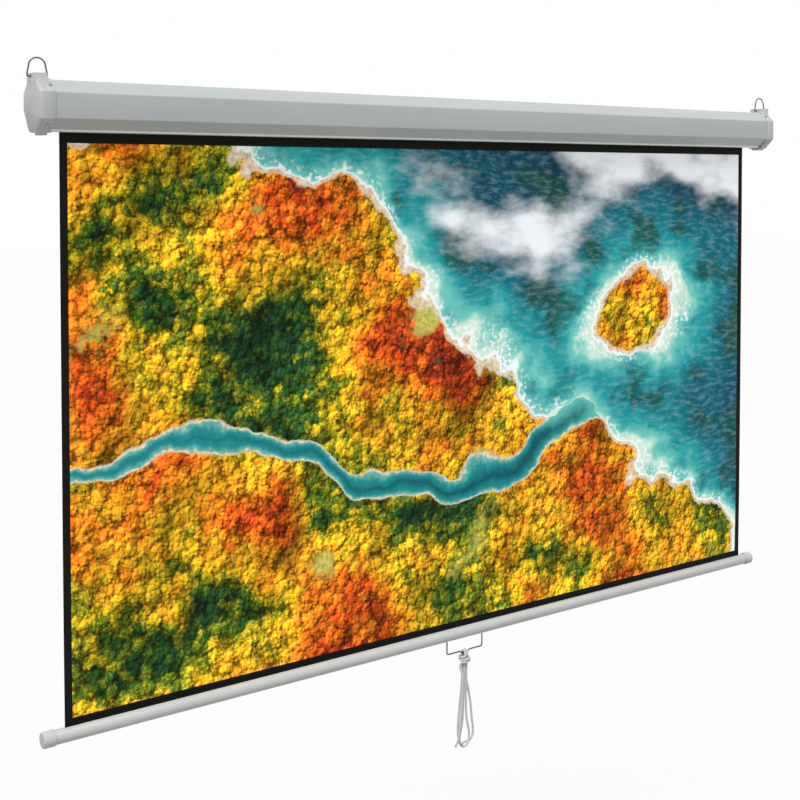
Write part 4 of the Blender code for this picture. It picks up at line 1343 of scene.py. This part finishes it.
@dataclass
class Sheet:
    """The cloth: the hanging sheet, its lower border strip and the turns on the roller."""

    width: float = 1.620
    thickness: float = 0.0005
    plane_y: float = 0.015
    ripple: float = 0.0008
    columns: int = 150
    rows: int = 90
    travel: float = 0.920
    wrap_turns: int = 2
    roller_radius: float = 0.0125
    clearance: float = 0.0003
    hem_radius: float = 0.0025
    hem_sweep: float = 300.0
    calm_top: float = 0.06
    fade_top: float = 0.16
    fade_bottom: float = 0.12
    broad_wave: float = 0.46
    broad_drift: float = 0.9
    broad_rate: float = 4.0
    fine_wave: float = 0.19
    fine_share: float = 0.4
    fine_rate: float = 5.0
    hem_steps: int = 12
    loop_steps: int = 40
    turn_steps: int = 64

    def build(self) -> None:
        """Builds all three stretches of cloth."""
        self.build_hanging()
        self.build_border()
        self.build_winding()

    def sway(self, x: float, z: float, low: float, high: float) -> float:
        """How far the hanging sheet stands off its plane.

        Args:
            x: Where along the screen.
            z: The height.
            low: The sheet's lower edge.
            high: Its upper edge.

        Returns:
            The offset along Y, which dies out towards the slot and the bar.
        """
        from_top = min(1.0, max(0.0, (high - self.calm_top - z) / self.fade_top))
        from_bottom = min(1.0, max(0.0, (z - low) / self.fade_bottom))
        fade = math.sin(from_top * math.pi / 2) ** 2 * math.sin(from_bottom * math.pi / 2) ** 2
        broad = math.sin(2 * math.pi * x / self.broad_wave + self.broad_drift * math.sin(self.broad_rate * z))
        fine = self.fine_share * math.sin(2 * math.pi * x / self.fine_wave + self.fine_rate * z)
        return self.ripple * fade * (broad + fine)

    def build_hanging(self) -> None:
        """Hangs the viewing sheet from the roller to the border strip."""
        high = span("screen_fabric")[1]
        low = span("border_hem")[1]
        length = high.z - low.z
        bm = bmesh.new()
        bmesh.ops.create_grid(bm, x_segments=self.columns, y_segments=self.rows, size=0.5)
        bmesh.ops.scale(bm, verts=bm.verts, vec=(self.width, length, 1.0))
        bmesh.ops.rotate(bm, verts=bm.verts, matrix=Matrix.Rotation(math.pi / 2, 3, "X"))
        bmesh.ops.translate(bm, verts=bm.verts, vec=(0.0, self.plane_y, (high.z + low.z) / 2))
        lay_rest_map(bm)
        for vert in bm.verts:
            vert.co.y += self.sway(vert.co.x, vert.co.z, low.z, high.z) - self.thickness / 2
        bmesh.ops.solidify(bm, geom=list(bm.faces), thickness=self.thickness)
        bm.normal_update()
        front = bm.faces.layers.float.new("front")
        for face in bm.faces:
            face[front] = float(face.normal.y < -0.5)
        finish = PictureCloth("viewing sheet", width=self.width, length=length)
        piece = add_piece("viewing_sheet", bm, finish, Body.CASE, ["screen_fabric"])
        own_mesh(piece)

    def build_border(self) -> None:
        """Makes the lower border strip, whose hem is curled round its rod."""
        top = span("border_hem")[1].z
        centre = tuple(middle_of("hem_rod").yz)
        loop = self.hem_radius + self.clearance + self.thickness / 2
        fall = (centre[1] - top) / self.hem_steps
        path = [(centre[0] - loop, top + fall * step) for step in range(self.hem_steps)]
        path += arc(centre, loop, 180, 180 + self.hem_sweep, self.loop_steps)
        piece, length = self.cloth_strip("border_strip", path, Body.BAR, "border_hem")

    def build_winding(self) -> None:
        """Winds the turns that stay on the roller."""
        middle = middle_of("roller_tube").z
        inner = self.roller_radius + self.clearance + self.thickness / 2
        steps = self.wrap_turns * self.turn_steps
        path = []
        for step in range(steps + 1):
            share = step / steps
            angle = 2 * math.pi * self.wrap_turns * share
            radius = self.plane_y + (inner - self.plane_y) * share
            path.append((radius * math.cos(angle), middle + radius * math.sin(angle)))
        piece, length = self.cloth_strip("wound_cloth", path, Body.ROLLER, "fabric_wraps")

    def cloth_strip(self, name: str, path: list[Point], body: Body, node: str) -> tuple[Piece, float]:
        """Makes a strip of black cloth as wide as the screen.

        Args:
            name: The piece's name.
            path: The (y, z) line that the middle of the cloth follows.
            body: The body it rides on.
            node: The CAD node it stands for.

        Returns:
            The piece and its length along the line.
        """
        bm = drawn_out(path, -self.width / 2, self.width / 2)
        travelled = {}
        total = 0.0
        for index, (y, z) in enumerate(path):
            total += math.dist(path[index - 1], (y, z)) if index else 0.0
            travelled[(round(y, 6), round(z, 6))] = total
        bm.verts.index_update()
        lay_rest_map(bm, [travelled[(round(vert.co.y, 6), round(vert.co.z, 6))] for vert in bm.verts])
        bmesh.ops.solidify(bm, geom=list(bm.faces), thickness=self.thickness)
        return add_piece(name, bm, BORDER_CLOTH, body, [node]), total


@dataclass
class BottomBar:
    """The bar in the sheet's hem with its end caps, and the wire handle below it."""

    bar_edge: float = 0.0002
    cap_radius: float = 0.0129
    cap_length: float = 0.020
    cap_wall: float = 0.004
    cap_rounding: float = 0.003
    bore: float = 0.0118
    mouth: float = 0.0005
    groove: float = 0.0003
    groove_from: float = 0.003
    cap_steps: int = 96
    cap_sharp: float = 40.0
    mouth_steps: int = 3
    rounding_steps: int = 8
    handle_wire: float = 0.0028
    handle_bend: float = 0.004
    handle_top_bend: float = 0.0024
    bend_steps: int = 10
    top_bend_steps: int = 6
    turn_in: float = 0.008
    dip_depth: float = 0.0035
    dip_flat: float = 0.014
    dip_width: float = 0.024
    dip_steps: int = 10

    def build(self) -> None:
        """Builds the bar, its caps and the handle."""
        SoftenedNode("bottom_bar", BAR_LACQUER, Body.BAR, edge=self.bar_edge).build()
        for side in Side:
            self.build_cap(side)
        self.build_handle()

    def build_cap(self, side: Side) -> None:
        """Turns the end cap that closes one end of the bar.

        Args:
            side: The end.
        """
        node = f"bar_cap_{side.word}"
        low, high = span(node)
        end = max(abs(low.x), abs(high.x))
        start, floor = end - self.cap_length, end - self.cap_wall
        groove_x = start + self.groove_from
        mouth, radius, rounding = self.mouth, self.cap_radius, self.cap_rounding
        profile = [(floor, 0.0), (floor, self.bore), (start, self.bore)]
        profile += arc((start + mouth, radius - mouth), mouth, 180, 90, self.mouth_steps)
        profile += [(groove_x - self.groove, radius), (groove_x, radius - self.groove)]
        profile += [(groove_x + self.groove, radius)]
        profile += arc((end - rounding, radius - rounding), rounding, 90, 0, self.rounding_steps)
        profile.append((end, 0.0))
        skin = [Vector((x, 0, reach)) for x, reach in profile]
        bm = spun(skin, Vector((1, 0, 0)), self.cap_steps, True, WELD)
        bmesh.ops.translate(bm, verts=bm.verts, vec=(0, *middle_of(node).yz))
        bmesh.ops.scale(bm, verts=bm.verts, vec=(side.value, 1, 1))
        bmesh.ops.recalc_face_normals(bm, faces=bm.faces)
        add_piece(f"{node}_plug", bm, CAP_PLASTIC, Body.BAR, [node], self.cap_sharp)

    def dip(self, rail: float) -> list[Point]:
        """Draws the left half of the dip where the cord is tied.

        Args:
            rail: The height of the rail beside it.

        Returns:
            The dip's points, as (x, z).
        """
        run = (self.dip_width - self.dip_flat) / 2
        shares = [step / self.dip_steps for step in range(self.dip_steps + 1)]
        drops = [self.dip_depth * (1 - math.cos(math.pi * share)) / 2 for share in shares]
        return [(-self.dip_width / 2 + run * share, rail - drop) for share, drop in zip(shares, drops)]

    def build_handle(self) -> None:
        """Bends the wire handle."""
        low, high = span("pull_handle")
        radius = self.handle_wire / 2
        half = high.x - radius
        pivot, rail = high.z - radius, low.z + radius + self.dip_depth
        bend, small = self.handle_bend, self.handle_top_bend
        path = [(-half + self.turn_in, pivot)]
        path += arc((-half + small, pivot - small), small, 90, 180, self.top_bend_steps)
        path += arc((-half + bend, rail + bend), bend, 180, 270, self.bend_steps) + self.dip(rail)
        path += [(-x, z) for x, z in reversed(path)]
        middle = middle_of("pull_handle").y
        bm = round_tube([Vector((x, middle, z)) for x, z in path], radius, WIRE_SIDES)
        add_piece("handle_wire", bm, NICKEL_WIRE, Body.HANDLE, ["pull_handle"])


@dataclass
class PullCord:
    """The braided cord: knotted round the handle's rail, with two long loops and a tail.

    Its route is in millimetres from the middle of the handle's dip. The strands hang in two
    layers, in front and at the back.
    """

    diameter: float = 0.0042
    rail_wire: float = 0.0028
    layer: float = 2.45
    rail_reach: float = 4.1
    wrap_radius: float = 9.8
    wrap_taper: float = 0.5
    wrap_turns: int = 2
    wrap_points: int = 9
    wrap_pitch: float = 5.0
    wrap_top: float = 7.5
    wrap_end: float = -150.0
    steps: int = 6
    sides: int = 16
    bead: float = 0.0024
    bead_sides: int = 24
    bead_rings: int = 16
    lumps: tuple[Point, Point] = ((0.10, 1900.0), (0.08, 2300.0))

    def strand(self, layer: float, *stations: Point) -> list[Spot]:
        """A hanging stretch of cord in a layer, through its (x, z) stations."""
        return [(x, layer, z) for x, z in stations]

    def over_rail(self, x: float) -> list[Spot]:
        """Leads the cord over the rail and down into the knot behind it.

        Args:
            x: Where it crosses.

        Returns:
            The points of the crossing.
        """
        back = self.layer
        path = [(x, y, z) for y, z in arc_stops((0.0, 0.0), self.rail_reach, (152, 121, 90, 59, 28, -8))]
        return path + [(x, back + 1.2, -4.5), (x, back + 0.3, -8.5), (x, back, -14.0)]

    def wraps(self) -> list[Spot]:
        """Winds the turns round the strands, from the lowest up.

        Returns:
            The turns' points.
        """
        turns = []
        steps = self.wrap_turns * self.wrap_points
        for step in range(steps + 1):
            left = (steps - step) / self.wrap_points
            angle = math.radians(self.wrap_end) - 2 * math.pi * left
            radius = self.wrap_radius - self.wrap_taper * left
            z = -self.wrap_top - self.wrap_pitch * left
            turns.append((radius * math.cos(angle), radius * math.sin(angle), z))
        return turns

    def route(self) -> list[Vector]:
        """Leads the cord from its tail through the knot and both loops.

        Returns:
            The route's points, in metres.
        """
        back, front = self.layer, -self.layer
        route = [(-25.2, -4.0, -177.0), (-23.0, -5.5, -171.5), (-20.0, -6.8, -161.0), (-17.5, -7.3, -146.0)]
        route += [(-15.2, -7.3, -125.0), (-12.8, -7.3, -100.0), (-10.6, -7.0, -75.0), (-9.7, -6.0, -54.0)]
        route += [(-9.8, -4.5, -41.0), (-10.0, -0.6, -32.0), (-10.1, 0.6, -26.0), (-9.6, -1.2, -20.2)]
        route += self.wraps()
        route += [(-6.8, -7.1, -6.6), (-4.7, -7.6, -4.7), (-3.1, -6.4, -2.2)]
        route += self.over_rail(front)
        route += self.strand(back, (-2.45, -22), (-3.0, -32), (-4.4, -54), (-6.8, -77), (-10.0, -100))
        route += self.strand(back, (-13.0, -125), (-14.3, -145), (-13.8, -161), (-11.4, -172), (-8.0, -179.7))
        route.append((-3.0, 0.0, -184.5))
        route += self.strand(front, (4.0, -181.2), (7.8, -174.5), (9.4, -165), (8.6, -152), (4.5, -136))
        route += self.strand(front, (2.0, -117), (1.4, -87), (2.0, -54))
        route += self.strand(front, (2.45, -32), (2.45, -22), (2.45, -14))
        route += [(back, front - 0.3, -8.5), (back, front - 1.2, -4.5), (back, front - 1.6, -0.6)]
        route += self.over_rail(back)
        route += self.strand(back, (2.45, -22), (3.2, -34), (6.0, -52), (9.8, -69), (13.6, -86), (16.3, -100))
        route += self.strand(back, (18.6, -118), (20.3, -134), (22.6, -149), (23.3, -160), (21.8, -169))
        route += self.strand(back, (17.0, -175.4), (10.5, -177.3))
        route += [(4.5, back - 0.3, -177.2), (-1.0, 0.4, -176.5)]
        route += self.strand(front, (-7.0, -176.5), (-12.5, -173.5), (-14.5, -167.5), (-13.2, -158))
        route += self.strand(front, (-9.8, -146), (-7.0, -130), (-5.5, -102), (-4.0, -72), (-3.0, -44))
        route += self.strand(front, (-2.45, -32), (-2.45, -22), (-2.45, -14), (-2.45, -11.5))
        return [Vector(point) / 1000 for point in route]

    def build(self) -> None:
        """Braids the cord along its route, from the knot to the tail."""
        low, _ = span("pull_handle")
        middle = Vector((0.0, middle_of("pull_handle").y, low.z + self.rail_wire / 2))
        path = [middle + point for point in reversed(smooth_line(self.route(), self.steps))]
        bm = round_tube(path, self.diameter / 2, self.sides)
        cord = add_piece("braided_cord", bm, CORD_BRAID, Body.CORD, ["pull_cord"])
        seal = self.build_seal(path[-1])
        line_length(path)

    def build_seal(self, end: Vector) -> Piece:
        """Melts the cord's end into a lumpy bead.

        Args:
            end: The cord's last point.

        Returns:
            The bead.
        """
        bm = bmesh.new()
        settings = {"u_segments": self.bead_sides, "v_segments": self.bead_rings}
        bmesh.ops.create_uvsphere(bm, radius=self.bead, **settings)
        (wide, wide_rate), (tall, tall_rate) = self.lumps
        for vert in bm.verts:
            lump = wide * math.sin(wide_rate * vert.co.x + 1.0) + tall * math.sin(tall_rate * vert.co.z)
            vert.co *= 1 + lump
        bmesh.ops.translate(bm, verts=bm.verts, vec=end)
        return add_piece("cord_end_bead", bm, MELTED_END, Body.CORD, [])


@dataclass
class Studio:
    """Floor, light and camera."""

    floor_z: float = -2.4
    floor_size: float = 80.0
    floor_squares: int = 8
    camera_place: Spot = (-1.6239, -1.9543, -0.1844)
    camera_turn: float = -36.713
    camera_dip: float = 2.2
    sensor: float = 36.0
    lens: float = 60.258
    shift_y: float = -0.2099
    sun_strength: float = 2.05
    sun_angle: float = 35.0
    sun_from: Spot = (-0.36, -0.38, 0.85)
    sky: float = 0.33

    def build(self) -> None:
        """Sets up the studio."""
        self.add_floor()
        self.add_sun()
        self.light_world()
        self.add_camera()

    def add_floor(self) -> None:
        """Lays the pale floor."""
        squares = self.floor_squares
        bm = bmesh.new()
        bmesh.ops.create_grid(bm, x_segments=squares, y_segments=squares, size=self.floor_size / 2)
        bmesh.ops.translate(bm, verts=bm.verts, vec=(0, 0, self.floor_z))
        floor = set_down("studio_floor", mesh_of("studio_floor", bm, StudioFloor("studio floor")))

    def add_sun(self) -> None:
        """Hangs the broad lamp above, in front and to the left."""
        light = bpy.data.lights.new("studio_lamp", "SUN")
        light.energy = self.sun_strength
        light.angle = math.radians(self.sun_angle)
        lamp = set_down("studio_lamp", light)
        lamp.rotation_euler = Vector(self.sun_from).to_track_quat("Z", "Y").to_euler()

    def light_world(self) -> None:
        """Fills the room with soft light, white where it is seen."""
        world = bpy.data.worlds.new("studio")
        world.use_nodes = True
        graph = Graph(world.node_tree)
        strength = graph.seen() * (BACKDROP - self.sky) + self.sky
        light = graph.add("ShaderNodeBackground", None, {"Color": (1.0, 1.0, 1.0), "Strength": strength})
        graph.add("ShaderNodeOutputWorld", None, {"Surface": light.outputs[0]})
        bpy.context.scene.world = world

    def add_camera(self) -> None:
        """Stands the camera where the photograph was taken from."""
        data = bpy.data.cameras.new("studio_camera")
        data.sensor_width = self.sensor
        data.lens = self.lens
        data.shift_y = self.shift_y
        camera = set_down("studio_camera", data)
        camera.location = self.camera_place
        turn = (90 - self.camera_dip, 0, self.camera_turn)
        camera.rotation_euler = [math.radians(angle) for angle in turn]
        bpy.context.scene.camera = camera


def dress_inside() -> None:
    """Gives the CAD nodes that stay their finishes."""
    for finish, names in INSIDE_FINISHES.items():
        material = material_of(finish)
        for name in names:
            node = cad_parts[name]
            if not node.material_slots:
                node.data.materials.append(material)
            for slot in node.material_slots:
                slot.material = material
            LOG.info("%s: %s", name, finish.name)


def main() -> None:
    """Builds the studio and every piece, in order."""
    logging.basicConfig(level=logging.INFO, format="%(message)s")
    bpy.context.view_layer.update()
    bpy.context.scene.view_settings.view_transform = "Standard"
    Studio().build()
    Sheet().build()
    Case().build()
    BottomBar().build()
    PullCord().build()
    dress_inside()


if __name__ == "__main__":
    main()
